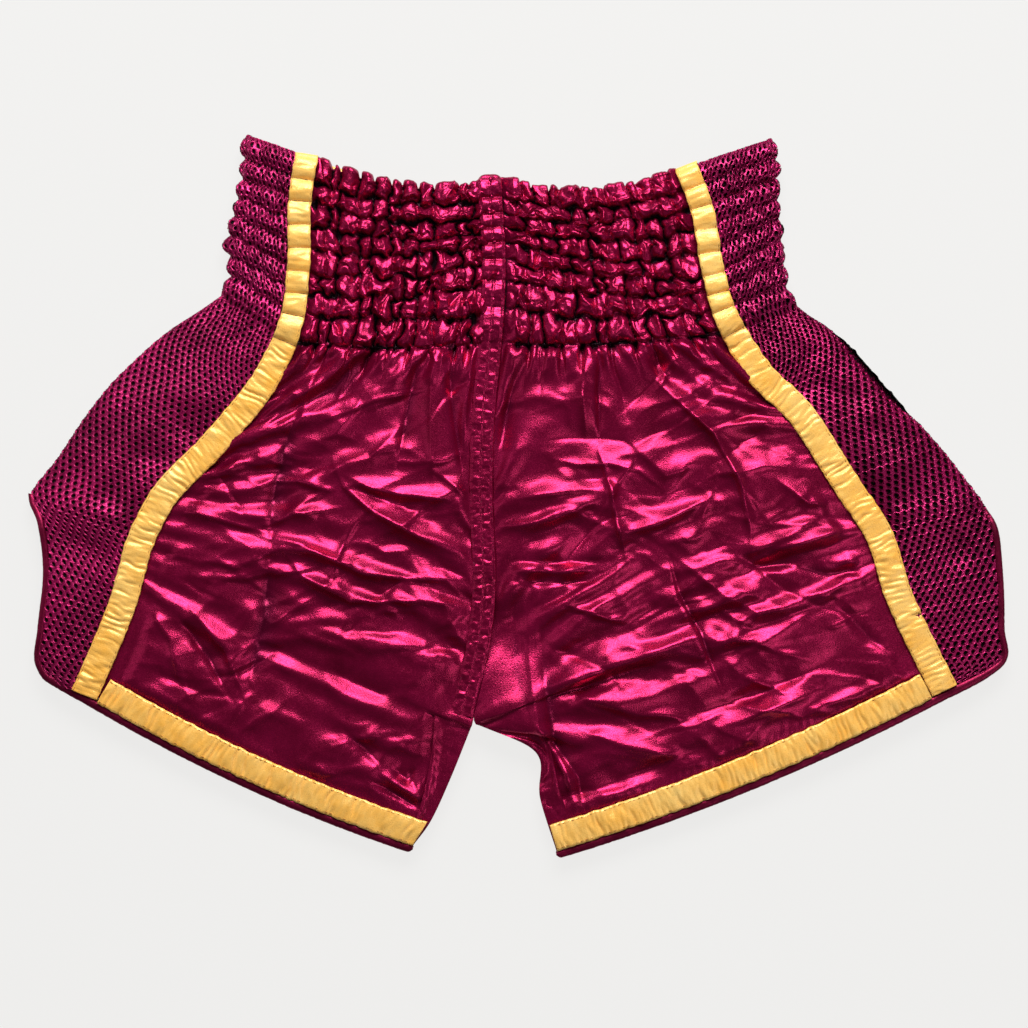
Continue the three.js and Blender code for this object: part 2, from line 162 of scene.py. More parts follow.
def noise(x, y, seed):
    """Smooth gradient noise from about -1 to 1 with one cell per unit."""
    x, y = np.broadcast_arrays(np.asarray(x, float), np.asarray(y, float))
    ix, iy = np.floor(x).astype(np.int64), np.floor(y).astype(np.int64)
    tx, ty = x - ix, y - iy

    def corner(dx, dy):
        h = (ix + dx) * 374761393 + (iy + dy) * 668265263 + int(seed) * 974634777
        h = ((h ^ (h >> 13)) & 0xFFFFFFFF) * 1274126177 & 0xFFFFFFFF
        angle = ((h ^ (h >> 16)) & 0xFFFF) * (math.tau / 65536)
        return np.cos(angle) * (tx - dx) + np.sin(angle) * (ty - dy)

    ease_x, ease_y = (t * t * t * (t * (t * 6 - 15) + 10) for t in (tx, ty))
    top = corner(0, 0) * (1 - ease_x) + corner(1, 0) * ease_x
    bottom = corner(0, 1) * (1 - ease_x) + corner(1, 1) * ease_x
    return (top * (1 - ease_y) + bottom * ease_y) * 1.5


def layered_noise(x, y, seed):
    return sum(noise(x * 2**k, y * 2**k, seed + k) / 2**k for k in range(3)) / 1.6


def lane_wave(row):
    """0 at a stitch line of the waistband, 1 in the middle of a lane, 0 below the waistband."""
    inside = 1 - smooth(row, LANES - 0.02, LANES + 0.02)
    return np.abs(np.sin(np.pi * row)) * inside


# ---------------------------------------------------------------- points

def raised(plan, z):
    """The points of a plan at the heights z."""
    return np.concatenate([plan, np.broadcast_to(z, plan.shape[:-1])[..., None]], axis=-1)


def paired(a, b):
    return np.stack(np.broadcast_arrays(a, b), axis=-1)


def row_and_share(rows, columns):
    """The row and the share across a panel at every point of a grid."""
    return np.meshgrid(rows, np.linspace(0, 1, columns), indexing="ij")


def length_along(points):
    """The length reached at each point of a line."""
    return np.concatenate([[0], np.cumsum(np.linalg.norm(np.diff(points, axis=0), axis=-1))])


def unit(vectors):
    return vectors / (np.linalg.norm(vectors, axis=-1, keepdims=True) + 1e-9)


# ---------------------------------------------------------------- meshes

PATTERNS = {}                           # piece name: width, length and area of its flat cloth in mm


def cut_size(flat, faces):
    """Width, length and area of a cloth whose points lie at these flat coordinates."""
    width, length = np.ptp(flat, axis=0)
    corners = flat[faces]
    after = np.roll(corners, -1, axis=1)
    twice = (corners[..., 0] * after[..., 1] - after[..., 0] * corners[..., 1]).sum(axis=1)
    return width, length, np.abs(twice).sum() / 2


def make_piece(name, points, faces, material, replaces=(), uvs=None, thickness=0.0, painted_shade_factor=None):
    """A mesh piece from points in mm, which rides on the one body.

    The last argument is a painted shade factor for the colour: 1 on the face of the cloth, falling to 0 down
    in its creases."""
    mesh = bpy.data.meshes.new(name)
    points = np.asarray(points, float).reshape(-1, 3) + ORIGIN
    faces = np.asarray(faces)
    mesh.vertices.add(len(points))
    mesh.vertices.foreach_set("co", (points * MM).ravel())
    corners = faces.shape[1]
    mesh.loops.add(faces.size)
    mesh.loops.foreach_set("vertex_index", faces.ravel())
    mesh.polygons.add(len(faces))
    mesh.polygons.foreach_set("loop_start", np.arange(0, faces.size, corners))
    mesh.update(calc_edges=True)
    mesh.validate()
    mesh.polygons.foreach_set("use_smooth", np.ones(len(mesh.polygons), bool))
    if uvs is not None:
        layer = mesh.uv_layers.new(name="cloth")
        flat = np.asarray(uvs, float).reshape(-1, 2)
        layer.data.foreach_set("uv", (flat[faces.ravel()] * MM).ravel())
        PATTERNS[name] = cut_size(flat, faces)
    # painted crease shade, stored on the points; the satin material darkens its colour by it
    if painted_shade_factor is not None:
        mesh.attributes.new("painted_shade_factor", "FLOAT", "POINT").data.foreach_set("value", painted_shade_factor.ravel())
    piece = bpy.data.objects.new(name, mesh)
    bpy.context.scene.collection.objects.link(piece)
    mesh.materials.append(material)
    if thickness:
        solid = piece.modifiers.new("thickness", "SOLIDIFY")
        solid.thickness = thickness * MM
        solid.offset = 0
    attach(piece, "root")
    if replaces:
        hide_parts(*replaces)
    return piece


def grid_faces(rows, columns, flip=False):
    index = np.arange(rows * columns).reshape(rows, columns)
    a, b, c, d = index[:-1, :-1], index[1:, :-1], index[1:, 1:], index[:-1, 1:]
    quads = np.stack([a, b, c, d], axis=-1).reshape(-1, 4)
    return quads[:, ::-1] if flip else quads


def resample(grid, rows, columns):
    """A grid of points with another number of rows and columns, by cubic interpolation."""
    for axis, count in ((0, rows), (1, columns)):
        last = grid.shape[axis] - 1
        at = np.linspace(0, last, count)
        low = np.minimum(at.astype(int), last - 1)
        t = (at - low).reshape([count if k == axis else 1 for k in range(grid.ndim)])
        before, a, b, after = (np.take(grid, np.clip(low + k, 0, last), axis) for k in (-1, 0, 1, 2))
        grid = a + 0.5 * t * (b - before + t * (2 * before - 5 * a + 4 * b - after
                                                + t * (3 * (a - b) + after - before)))
    return grid


# ---------------------------------------------------------------- cloth relaxation

LEAST_GAP = 0.07                        # kept between neighbouring points in plan
SMOOTHING = 0.05
ROUNDS = {4: 90, 2: 90, 1: 70}          # of relaxation, for a grid of every 4th, 2nd or single point


def pull(a, b, wa, wb, rest, stiffness):
    """Move two sets of points towards their rest distance, in place."""
    delta = b - a
    length = np.sqrt((delta * delta).sum(-1)) + 1e-9
    push = (stiffness * (1 - rest / length) / np.maximum(wa + wb, 1e-6))[..., None] * delta
    a += push * wa[..., None]
    b -= push * wb[..., None]


def relax(cloth, across, down, free, limit, rounds):
    """Relax a grid of points to its rest lengths, inside the height limits.

    cloth is rows x columns x 3 with x rising along the columns and y falling down the rows. across
    and down are the rest lengths, free is 0 where the cloth is sewn, and limit(cloth) holds it."""
    diagonal = np.hypot((across[:-1] + across[1:]) / 2, (down[:, :-1] + down[:, 1:]) / 2)
    for _ in range(rounds):
        for s in (0, 1):
            pull(cloth[:, s:-1:2], cloth[:, s + 1::2], free[:, s:-1:2], free[:, s + 1::2],
                 across[:, s::2], 1.0)
            pull(cloth[s:-1:2], cloth[s + 1::2], free[s:-1:2], free[s + 1::2], down[s::2], 1.0)
        for s in (0, 1):
            pull(cloth[s:-1:2, :-1], cloth[s + 1::2, 1:], free[s:-1:2, :-1], free[s + 1::2, 1:],
                 diagonal[s::2], 0.25)
            pull(cloth[s:-1:2, 1:], cloth[s + 1::2, :-1], free[s:-1:2, 1:], free[s + 1::2, :-1],
                 diagonal[s::2], 0.25)
        middle = cloth[1:-1, 1:-1]
        around = (cloth[:-2, 1:-1] + cloth[2:, 1:-1] + cloth[1:-1, :-2] + cloth[1:-1, 2:]) / 4
        middle += SMOOTHING * free[1:-1, 1:-1, None] * (around - middle)
        gap = LEAST_GAP - np.diff(cloth[..., 0], axis=1)
        gap = np.where(gap > 0, gap, 0) / 2
        cloth[:, :-1, 0] -= gap * free[:, :-1]
        cloth[:, 1:, 0] += gap * free[:, 1:]
        gap = LEAST_GAP + np.diff(cloth[..., 1], axis=0)
        gap = np.where(gap > 0, gap, 0) / 2
        cloth[:-1, :, 1] += gap * free[:-1]
        cloth[1:, :, 1] -= gap * free[1:]
        limit(cloth)


def fold_field(x, y, folds):
    """Height added by the listed folds: a sharp crest along each line, steeper on one side."""
    total = np.zeros_like(x)
    for points, width, height in folds:
        points = np.array(points, float)
        whole = np.hypot(*np.diff(points, axis=0).T).sum()
        best, share, lee = np.full(x.shape, 1e9), np.zeros_like(x), np.zeros_like(x)
        start = 0.0
        for p, q in zip(points[:-1], points[1:]):
            way = q - p
            length = np.hypot(*way)
            t = np.clip(((x - p[0]) * way[0] + (y - p[1]) * way[1]) / length**2, 0, 1)
            off_x, off_y = x - p[0] - t * way[0], y - p[1] - t * way[1]
            far = np.hypot(off_x, off_y)
            nearer = far < best
            best = np.where(nearer, far, best)
            share = np.where(nearer, (start + t * length) / whole, share)
            lee = np.where(nearer, (off_x * way[1] - off_y * way[0]) / length, lee)
            start += length
        ends = np.minimum(smooth(share, 0, 0.35), 1 - smooth(share, 0.65, 1))
        reach = 0.75 * width * np.where(lee > 0, 0.55, 1.5) * (0.35 + 0.65 * ends)
        total += height * np.exp(-(np.sqrt(best * best + 0.5) - 0.7) / reach) * (0.1 + 0.9 * ends)
    return total


def small_folds(half):
    """Thin wandering creases drawn at random: steep near the gathers, mostly level farther down."""
    draw = np.random.default_rng(600 + half["sign"])
    folds = []
    for _ in range(SMALL_FOLDS):
        points = [np.array([half["sign"] * draw.uniform(6, 205), draw.uniform(-182, 76)])]
        upright = smooth(points[0][1], 20, 70)
        angle = draw.normal(0.1, 0.36) * (1 - upright) + draw.normal(1.45, 0.35) * upright
        step = draw.uniform(5, 18)
        for _ in range(4):
            points.append(points[-1] + step * np.array([math.cos(angle), math.sin(angle)]))
            angle += draw.normal(0, 0.26)
        height = draw.uniform(0.5, 2.0) * draw.choice([-0.8, 1, 1])
        folds.append((points, draw.uniform(1.6, 4.2), height))
    return folds


# ---------------------------------------------------------------- satin panels

COLUMNS = 150                          # of the relaxed cloth
BODY_STEPS = 168
FINE_COLUMNS = 232                     # of the finished panel
FINE_LANE_STEPS = 22
FINE_BODY_STEPS = 240
LAPPED = 3.0                           # how far the satin runs in under the stripe
CUT_WIDTH = {-1: 196.0, 1: 214.0}      # width of the cut satin panel
PUFF_WIDTH = 9.5                       # of a gather between two creases in the waistband
PUFF_HEIGHT = 5.0
PUFF_SAG = 0.28                        # how far a puff's crest hangs below the middle of its lane
CREASE_DEPTH = 1.8
CREASE_WIDTH = 1.2
STITCH_GAP = 1.0
LANE_HALF = 5.6                        # half a lane's length down the waistband
TURNED_ROWS = 10                       # rows of points that carry a top edge over and down behind
DEEPEST_FOLD = 4.5                     # below the face of the cloth
SMALL_FOLDS = 120                      # on each half
SEWN_ROW = 19.5                        # from here down the hem ribbon holds the satin flat
BACK_SHARE = 0.35                      # of the front's gathers that the back, lying underneath, shows
FAR = 99.0                             # distance to a trim that isn't at this row

# Main folds of the body as laid: (points in mm, half width, height above or below the cloth).
FOLDS = {
    -1: [
        ([(-78, 83), (-97, 63), (-121, 46)], 9, -5.5),
        ([(-86, 80), (-104, 62), (-122, 52)], 5, 3.5),
        ([(-119, 48), (-127, 26), (-134, -4), (-135, -30)], 8, -4.4),
        ([(-135, -28), (-139, -70), (-150, -116)], 7, -3.0),
        ([(-128, -8), (-108, -14)], 7, 2.2),
        ([(-53, 80), (-60, 45), (-66, 14)], 5, -3.5),
        ([(-39, 82), (-34, 40), (-28, 4)], 4, -3.5),
        ([(-46, 80), (-47, 40), (-46, 5)], 6, 3),
        ([(-24, 80), (-26, 50), (-30, 20)], 4, 3),
        ([(-94, 10), (-80, 3), (-62, -1), (-30, -4)], 3.5, 3.2),
        ([(-95, 5), (-60, -8), (-40, -10)], 4, -2.5),
        ([(-101, 17), (-94, 3), (-80, -9), (-53, -24), (-30, -34)], 3.5, 3.6),
        ([(-127, -30), (-110, -32), (-84, -44), (-53, -47), (-25, -47)], 3, 3.2),
        ([(-129, -30), (-118, -45), (-91, -59), (-53, -59), (-28, -62)], 3.5, 3.5),
        ([(-186, -68), (-170, -90), (-157, -114)], 4, -3.5),
        ([(-180, -62), (-160, -86), (-150, -112)], 5, 3.0),
        ([(-136, -29), (-141, -70), (-158, -118)], 16, -1.6),
        ([(-97, -129), (-85, -140), (-73, -151)], 4, -3.0),
        ([(-81, -158), (-60, -170), (-50, -176)], 3, -4),
        ([(-78, -152), (-62, -163), (-54, -168), (-51, -152)], 3, 3.2),
        ([(-70, -151), (-60, -158), (-55, -150)], 3, -3),
        ([(-152, 36), (-175, 10), (-190, -9)], 3, -2.4),
        ([(-129, 62), (-143, 44), (-166, 13), (-190, -9)], 2.2, 2.6),
        ([(-165, -45), (-130, -30), (-100, -34)], 6, 2.5),
        ([(-120, -70), (-80, -85), (-40, -84)], 6, 2.5),
        ([(-110, -95), (-75, -110), (-50, -106)], 6, -2.0),
        ([(-60, 40), (-80, 20), (-112, 12)], 6, 2.5),
        ([(-205, -60), (-190, -80), (-185, -104)], 5, 2.5),
    ],
    1: [
        ([(-1, 63), (-8, 35), (-12, 16)], 4, -3.8),
        ([(46, 83), (45, 55), (46, 28)], 2.4, -3.6),
        ([(38, 83), (36, 55), (38, 30)], 5, 3),
        ([(45, 24), (52, 2), (55, -16), (61, -38)], 3.5, 3.6),
        ([(68, 88), (75, 75), (79, 63)], 4, -3.5),
        ([(-6, -3), (20, 0), (46, 3)], 5, 3),
        ([(-9, -19), (20, -14), (46, -3)], 5, 3),
        ([(-6, -37), (20, -38), (51, -37)], 2.8, -3.2),
        ([(-6, -48), (20, -49), (46, -48)], 2.8, -2.8),
        ([(-6, -42), (20, -43), (48, -42)], 4, 3.5),
        ([(76, 62), (108, 33), (122, 8), (128, -19), (129, -34)], 3.5, 4.2),
        ([(57, -22), (78, -17), (93, -9), (108, -1)], 3, 3.0),
        ([(117, -38), (136, -40), (158, -38)], 5, -2.8),
        ([(134, -32), (160, -26), (186, -17)], 5, 3.5),
        ([(148, -39), (170, -44), (194, -42)], 5, -3.5),
        ([(84, -34), (90, -55), (101, -76), (114, -110)], 2.2, -3.6),
        ([(84, -32), (97, -42), (114, -56), (132, -65), (158, -62)], 8, 3.8),
        ([(112, -129), (140, -118), (170, -107)], 5, 3.0),
        ([(108, -122), (136, -110), (166, -96)], 5, -3),
        ([(4, -62), (8, -100), (12, -139), (27, -154), (33, -179)], 4, 4.5),
        ([(12, -70), (16, -104), (21, -138), (34, -156), (38, -178)], 5, -4.5),
        ([(-2, -62), (0, -100), (12, -140)], 4, -3),
        ([(24, -107), (60, -120), (101, -125)], 6, 2.5),
        ([(30, -128), (64, -140), (100, -146)], 6, 2.5),
        ([(60, 30), (82, 10), (100, 16)], 6, 2.5),
        ([(140, 10), (160, -5), (182, -4)], 5, 2.5),
        ([(175, -60), (195, -80), (215, -92)], 5, -2.5),
    ],
}


def stripe_half(row):
    return (WAIST_RIBBON_WIDTH + (RIBBON_WIDTH - WAIST_RIBBON_WIDTH) * smooth(row, 6, 10)) / 2


def satin_layout(half, stripe, rows, columns):
    """Where each point of a satin panel lies in plan, with x rising along the columns."""
    edge = half[stripe + "_line"](rows)
    inner = np.where((rows <= CROTCH_ROW)[:, None], centre_line(rows), half["inseam_line"](rows))
    edge = edge + paired(-half["sign"] * (stripe_half(rows) - LAPPED), 0)
    first, last = (edge, inner) if half["sign"] < 0 else (inner, edge)
    share = np.linspace(0, 1, columns)[None, :, None]
    plan = first[:, None] * (1 - share) + last[:, None] * share
    bow = 4 * share[..., 0] * (1 - share[..., 0])
    plan[..., 1] -= sag_line(rows)[:, None, 0] * bow
    return plan


def covered(half, x, y, row):
    """Distances in mm from the hem ribbon, the centre seam and the gusset, 0 under each."""
    sign = half["sign"]
    foot = hem_line(half)(np.linspace(0, 1, 60))
    order = np.argsort(foot[:, 0])
    above_hem = (y - np.interp(x, foot[order, 0], foot[order, 1])) * 0.9 - RIBBON_WIDTH
    centre = centre_line(row)[..., 0]
    from_band = np.maximum(centre - SEAM_BAND_WIDTH - x, x - centre)
    from_band = np.where(row < CROTCH_ROW, from_band, FAR)
    from_gusset = sign * (x - half["gusset_line"](row)[..., 0])
    from_gusset = np.where(row > CROTCH_ROW + 0.1, from_gusset, FAR)
    return np.maximum(above_hem, 0), np.maximum(from_band, 0), np.maximum(from_gusset, 0)


def relaxed_body(half, face, detail):
    """The satin below the waistband, relaxed with a little too much cloth both ways."""
    sign = half["sign"]
    front = face == "front"
    seed = 11 if sign < 0 else 23
    cloth = None
    for level in detail:
        columns = (COLUMNS - 1) // level + 1
        rows = np.linspace(LANES, HEM_ROW, BODY_STEPS // level + 1)
        plan = satin_layout(half, face + "_stripe", rows, columns)
        x, y = plan[..., 0], plan[..., 1]
        row, share = row_and_share(rows, columns)
        base = satin_height(y, front)

        # rest lengths
        ease = 1.02 + 0.05 * (1 - smooth(row, LANES, LANES + 2))
        ease = ease + 0.02 * layered_noise(x / 40, y / 34, seed + 40)
        across = np.diff(x, axis=1) * ease[:, 1:]
        steps = np.hypot(np.diff(x, axis=0), np.diff(y, axis=0))
        slack = 1.03 + 0.03 * layered_noise(x / 44, y / 40, seed + 50)
        down = steps * slack[1:]

        # height limits
        roof, floor = np.full(x.shape, 7.0), np.full(x.shape, -2.2)
        if not front:
            roof, floor = BACK_SHARE * roof, np.full(x.shape, -1.5)
        plan_width = np.abs(np.diff(x, axis=1)).sum(1, keepdims=True)
        near_edge = np.minimum(share, 1 - share) * plan_width
        under_trim = np.minimum.reduce(covered(half, x, y, row))
        roof = np.minimum(roof, 0.6 + 0.7 * np.minimum(near_edge, under_trim))

        free = np.ones_like(x)
        free[0] = 0
        free[:, 0] = free[:, -1] = 0
        free[row >= SEWN_ROW] = 0
        bulk = fold_field(x, y, FOLDS[sign]) * (1.0 if front else 0.3)
        if cloth is None:
            cloth = raised(plan, base + 1.2 + bulk + 1.5 * noise(x / 38, y / 24, seed + 31))
        else:
            cloth = resample(cloth, len(rows), columns)
        low, high = base + floor, base + roof
        sewn = free == 0
        cloth[sewn] = raised(plan, base)[sewn]

        def limit(points):
            points[..., 2] = np.clip(points[..., 2], low, high)

        relax(cloth, across, down, free, limit, ROUNDS[level])
    return cloth


def crease_table(width, seed):
    """For every lane and for the body below, the shares of the panel's width where creases cross it."""
    draw = np.random.default_rng(seed)
    count = round(width / PUFF_WIDTH)
    base = (np.arange(1, count) + draw.uniform(-0.25, 0.25, count - 1)) / count
    table = []
    for _ in range(LANES + 1):
        base = base + draw.uniform(-0.12, 0.12, count - 1) / count
        kept = base[draw.random(count - 1) > 0.10]
        extra = draw.uniform(0.05, 0.95, draw.integers(0, 4))
        creases = [0.0]
        for crease in np.append(np.sort(np.concatenate([kept, extra])), 1.0):
            while crease - creases[-1] > 1.75 / count:
                creases.append(creases[-1] + draw.uniform(0.8, 1.2) / count)
            if crease - creases[-1] > 0.45 / count and (crease == 1.0 or 1 - crease > 0.45 / count):
                creases.append(crease)
        creases[-1] = 1.0
        table.append(np.array(creases))
    return table


def inside_seams(share):
    """1 over a panel, falling to 0 where its sides are sewn."""
    return np.minimum(1, 16 * np.minimum(share, 1 - share))


def past_gap(t, half_size, gap):
    """Stretches a puff's -1 to 1 so that a strip of the given width is left at its sides."""
    return np.clip(t * half_size / np.maximum(half_size - gap / 2, 0.5), -1, 1)


def puffed_lane(share, down, width, lane, creases, seed, open_head=False, open_foot=False):
    """One lane of gathers: its height in mm, and a painted shade factor for its colour, 1 where no shade is
    painted.

    share and down run from 0 to 1 over the panel's width and the lane's depth."""
    x = share * width

    # the puff that each point lies on, and where: u from crease to crease, v from stitch to stitch
    bend = 2.6 * noise(down * 1.3 + lane * 5, x / 12, seed + 1) + 1.1 * noise(down * 3.1, x / 5, seed + 2)
    place = np.clip(share + bend / width * np.minimum(1, 20 * np.minimum(share, 1 - share)), 0, 1)
    i = np.clip(np.searchsorted(creases, place, side="right") - 1, 0, len(creases) - 2)
    left, right = creases[i], creases[i + 1]
    half_width = (right - left) * width / 2
    u = 2 * (place - left) / (right - left) - 1
    v = 2 * down - 1
    line = lane + (v > 0)                                     # the stitch line on this side
    v = v - PUFF_SAG * (1 - v * v)

    # how tightly its creases and stitches hold it down, and its dome between them
    draw = np.random.default_rng(seed * 100 + lane)
    puff = draw.uniform(-1, 1, (len(creases), 10))[i]
    crease_strength = draw.uniform(0.45, 1.25, len(creases))
    held_u = np.clip(np.where(u < 0, crease_strength[i], crease_strength[i + 1]), 0, 1)
    held_v = np.clip(0.80 + 0.55 * noise(x / 9, line * 5.3, seed + 9), 0.45, 1)
    rim = 0.30 * noise(x / 3.4, line * 3.0, seed + 6) + 0.35 * noise(x / 8.0, line * 3.0, seed + 7)
    wall_u = past_gap(u, half_width, CREASE_WIDTH * held_u)
    wall_v = past_gap(v * (1 + np.clip(rim, 0, 1) * np.abs(v)), LANE_HALF, STITCH_GAP * held_v)
    if open_head:
        wall_v = np.where(v > 0, wall_v, 0)
    if open_foot:
        wall_v = np.where(v < 0, wall_v, 0)
    round_u = 1 - held_u * (1 - (1 - np.abs(wall_u) ** 2.3) ** 0.5)
    round_v = 1 - held_v * (1 - (1 - np.abs(wall_v) ** 2.5) ** 0.5)
    dome = round_u * round_v
    size = np.clip(half_width / (PUFF_WIDTH / 2), 0.5, 1.2) ** 0.6
    height = PUFF_HEIGHT * size * (0.80 + 0.25 * puff[..., 0])

    # its lean, three crests of its own and the small gathers at the stitches
    x_mm, y_mm = u * half_width, v * LANE_HALF
    lift = 1.3 * puff[..., 1] * u + (1.0 + 0.9 * puff[..., 2]) * v
    for k, strength in ((3, 2.2), (5, -2.6), (7, 1.7)):
        angle = puff[..., k] * 1.4
        off = x_mm * np.sin(angle) + y_mm * np.cos(angle) - 3.4 * puff[..., k + 1]
        off = off + 1.8 * noise(x / 6, y_mm / 6 + lane * 3.0, seed + k)
        crest = np.exp(-(np.sqrt(off * off + 0.06) - 0.25) / 0.9)
        lift = lift + strength * crest * np.clip(0.6 + puff[..., k + 1], 0, 1)
    gathered = 0.75 * noise(x / 3.1 + 0.5 * noise(x / 9, down * 2, seed), lane * 4.0 + v, seed + 8)
    lift = lift + gathered * v * v
    z = height * dome + lift * dome - CREASE_DEPTH * (1 - np.clip(dome * 3, 0, 1)) - 0.4

    # painted shade for the colour: darker under the stitches, beside a tight crease and deep down
    under = (1 - v) * LANE_HALF / np.maximum(1.1 + 2.2 * noise(x / 6, lane * 7.0, seed + 12), 0.3)
    if open_foot:
        under = np.ones_like(v)
    beside = (1 - np.abs(u)) * half_width / np.maximum(2.0 * held_u - 0.9, 0.15)
    deep = np.clip((z + 1.2) / 1.8, 0, 1)
    return z, np.clip(np.minimum.reduce([under + 0 * u, beside, deep]), 0, 1)


def waist_width(half, face):
    """Width of a satin panel in the middle of the waistband."""
    middle = LANES / 2
    return abs(half[face + "_stripe_line"](middle)[0] - centre_line(middle)[0])


def waist_satin(half, face, rows, columns, table, seed):
    """The shirred satin over the elastics: where it lies in plan, its height, and the painted shade factor
    for its colour.
    """
    row, share = row_and_share(rows, columns)
    width = waist_width(half, face)
    inside = inside_seams(share)
    ends = np.minimum(1, 2.5 * np.minimum(row, LANES - row))
    x = share * width
    warp = 0.24 * noise(x / 11, row * 0.9, seed + 14) + 0.12 * noise(x / 4.2, row * 2.1, seed + 15)
    warped = np.clip(row + warp * ends * inside, 0, LANES - 1e-6)
    lane = warped.astype(int)
    height, painted_shade_factor = np.zeros(share.shape), np.zeros(share.shape)
    for k in range(LANES):
        held = lane == k
        height[held], painted_shade_factor[held] = puffed_lane(share[held], warped[held] - k, width, k, table[k], seed,
                                                   open_head=k == 0)
    crisp = noise(x / 6.5 + 2 * warp, row * 1.15, seed + 23)
    height = height + 1.3 * (0.38 - np.minimum(np.sqrt(crisp * crisp + 0.003), 0.5)) * ends * painted_shade_factor**2
    plan = satin_layout(half, face + "_stripe", rows, columns)
    sag = 1.3 * noise(x / 8, row * 0.9, seed + 21)
    top = 1 - smooth(rows, 0, 0.6)[:, None]
    scallop = top * (0.35 * np.clip(height[:1], -2, 5) - 0.6) if face == "front" else -0.2 * top
    plan[..., 1] += (sag * (1 - 0.6 * top) + scallop) * inside
    return plan, height * inside - 0.3 * (1 - inside), painted_shade_factor


# crumples of the body: (size in mm, height, how much of the cloth is left smooth)
CRUMPLES = ((52.0, 3.1, -1.0), (27.0, 1.1, -0.2), (13.0, 0.45, 0.0), (6.5, 0.18, 0.1))


def crumple(x, y, seed):
    """Long facets that meet in crests, mostly level, with finer crumples only here and there."""
    bent_x = x + 9 * noise(x / 31, y / 26, seed + 1)
    bent_y = y + 17 * noise(x / 52, y / 58, seed + 2) + 4 * noise(x / 21, y / 19, seed + 4)
    total = np.zeros_like(x)
    for scale, weight, part in CRUMPLES:
        value = noise(bent_x / scale, bent_y / (scale * 0.46), seed + int(scale))
        where = smooth(noise(x / (scale * 2.1), y / (scale * 1.7), seed + 3 + int(scale)), part, part + 0.5)
        total += weight * where * (1 - np.sqrt(value * value + 0.3 / scale**2))
    return total - 1.6


def gather_tail(row, share, width, creases, seed):
    """How the last lane's puffs and creases run out down the body, with the shade painted down its creases.
    """
    draw = np.random.default_rng(seed + 700)
    below = row - LANES
    puff, painted_shade_factor = puffed_lane(share, np.clip(below / 0.8, 0, 0.5), width, LANES, creases, seed,
                                 open_foot=True)
    hang = 0.55 + 0.35 * noise(share * width / 16, 0 * share, seed + 4)
    height = (puff + 0.4) * np.exp(-np.clip(below / hang, 0, 9) ** 2.2)
    for crease in creases[1:-1]:
        reach, depth = draw.uniform(0.6, 1.0) * draw.choice([0.8, 1.6, 3.0]), draw.uniform(0.6, 4.0)
        off = (share - crease - draw.uniform(-0.012, 0.012) * below) * width
        off = off + 1.6 * noise(below * 0.9, crease * 50, seed + 5)
        crease_width = 0.9 + 1.5 * below
        here = np.exp(-np.abs(off) / crease_width) * (1 - smooth(below, 0.2 * reach, reach))
        height = height - depth * here
        # painted shade down each crease
        painted_shade_factor = painted_shade_factor * (1 - 0.30 * depth * here**2)
    last_lane = 1 - smooth(below, 0, 1.0)
    return height * smooth(below, 0, 0.06), painted_shade_factor * last_lane + (1 - last_lane)


def creased_body(half, face, body, rows, creases, seed):
    """Adds folds, crumples and puckers to the relaxed body, in place, and gives the painted shade factor for
    its colour.
    """
    front = face == "front"
    x, y = body[..., 0], body[..., 1]
    row, share = row_and_share(rows, body.shape[1])
    panel_width = np.abs(np.diff(x, axis=1)).sum(1, keepdims=True)
    near_stripe = (share if half["sign"] < 0 else 1 - share) * panel_width
    near_inner = panel_width - near_stripe
    above_hem, from_band, from_gusset = covered(half, x, y, row)
    clear = np.minimum.reduce([above_hem, from_band, from_gusset, np.maximum(near_stripe - 9, 0)])
    open_cloth = smooth(clear, 0, 7) * smooth(row, LANES, LANES + 1.0)
    folds = fold_field(x, y, FOLDS[half["sign"]])
    folds = np.where(folds < 0, -DEEPEST_FOLD * np.tanh(-folds / DEEPEST_FOLD), folds)
    relief = (crumple(x, y, seed + 80) + folds + fold_field(x, y, small_folds(half))) * open_cloth

    # puckers along the stripe, the hem and the centre seam, tightest where the right stripe bends
    tight = 3.2 * np.exp(-(((y - 8) / 20) ** 4)) if half["sign"] < 0 else 0.0
    stripe_pucker = noise(y / 2.3, near_stripe / 11, seed + 90) * np.exp(-np.maximum(near_stripe - 8, 0) / 7)
    hem_pucker = noise(x / 2.6, above_hem / 10, seed + 91) * np.exp(-above_hem / 6)
    seam_pucker = noise(y / 2.2, near_inner / 9, seed + 92) * np.exp(-from_band / 5)
    pucker = stripe_pucker * (1 + tight * (near_stripe < 16)) + hem_pucker + seam_pucker
    relief = relief + 0.35 * pucker * smooth(clear, 0, 2)
    tail, painted_shade_factor = gather_tail(row, share, waist_width(half, face), creases, seed)
    inside = inside_seams(share)
    under = smooth(np.minimum(from_band, near_stripe - 5), 0, 3)
    relief = relief + tail * inside * under - 0.3 * (1 - inside)

    # the left leg's smooth slope beside the crotch
    if half["sign"] > 0:
        calm = np.exp(-((np.hypot((x + 2) / 24, (y + 98) / 34)) ** 4))
        flat_cloth = front_height(y) + 2.0 - 0.27 * (y + 102) + 1.4 * noise(x / 26, y / 34, seed + 95)
        body[..., 2] += (flat_cloth - body[..., 2]) * calm * front
        relief = relief * (1 - 0.75 * calm)
    body[..., 2] += relief if front else -0.3 * relief
    body[..., 2] = np.maximum(body[..., 2], 0.3)
    # painted shade: the colour factor drops in the deep folds
    return np.clip(painted_shade_factor * (1 + 0.24 * np.minimum(folds + 0.7, 0) * open_cloth), 0, 1)


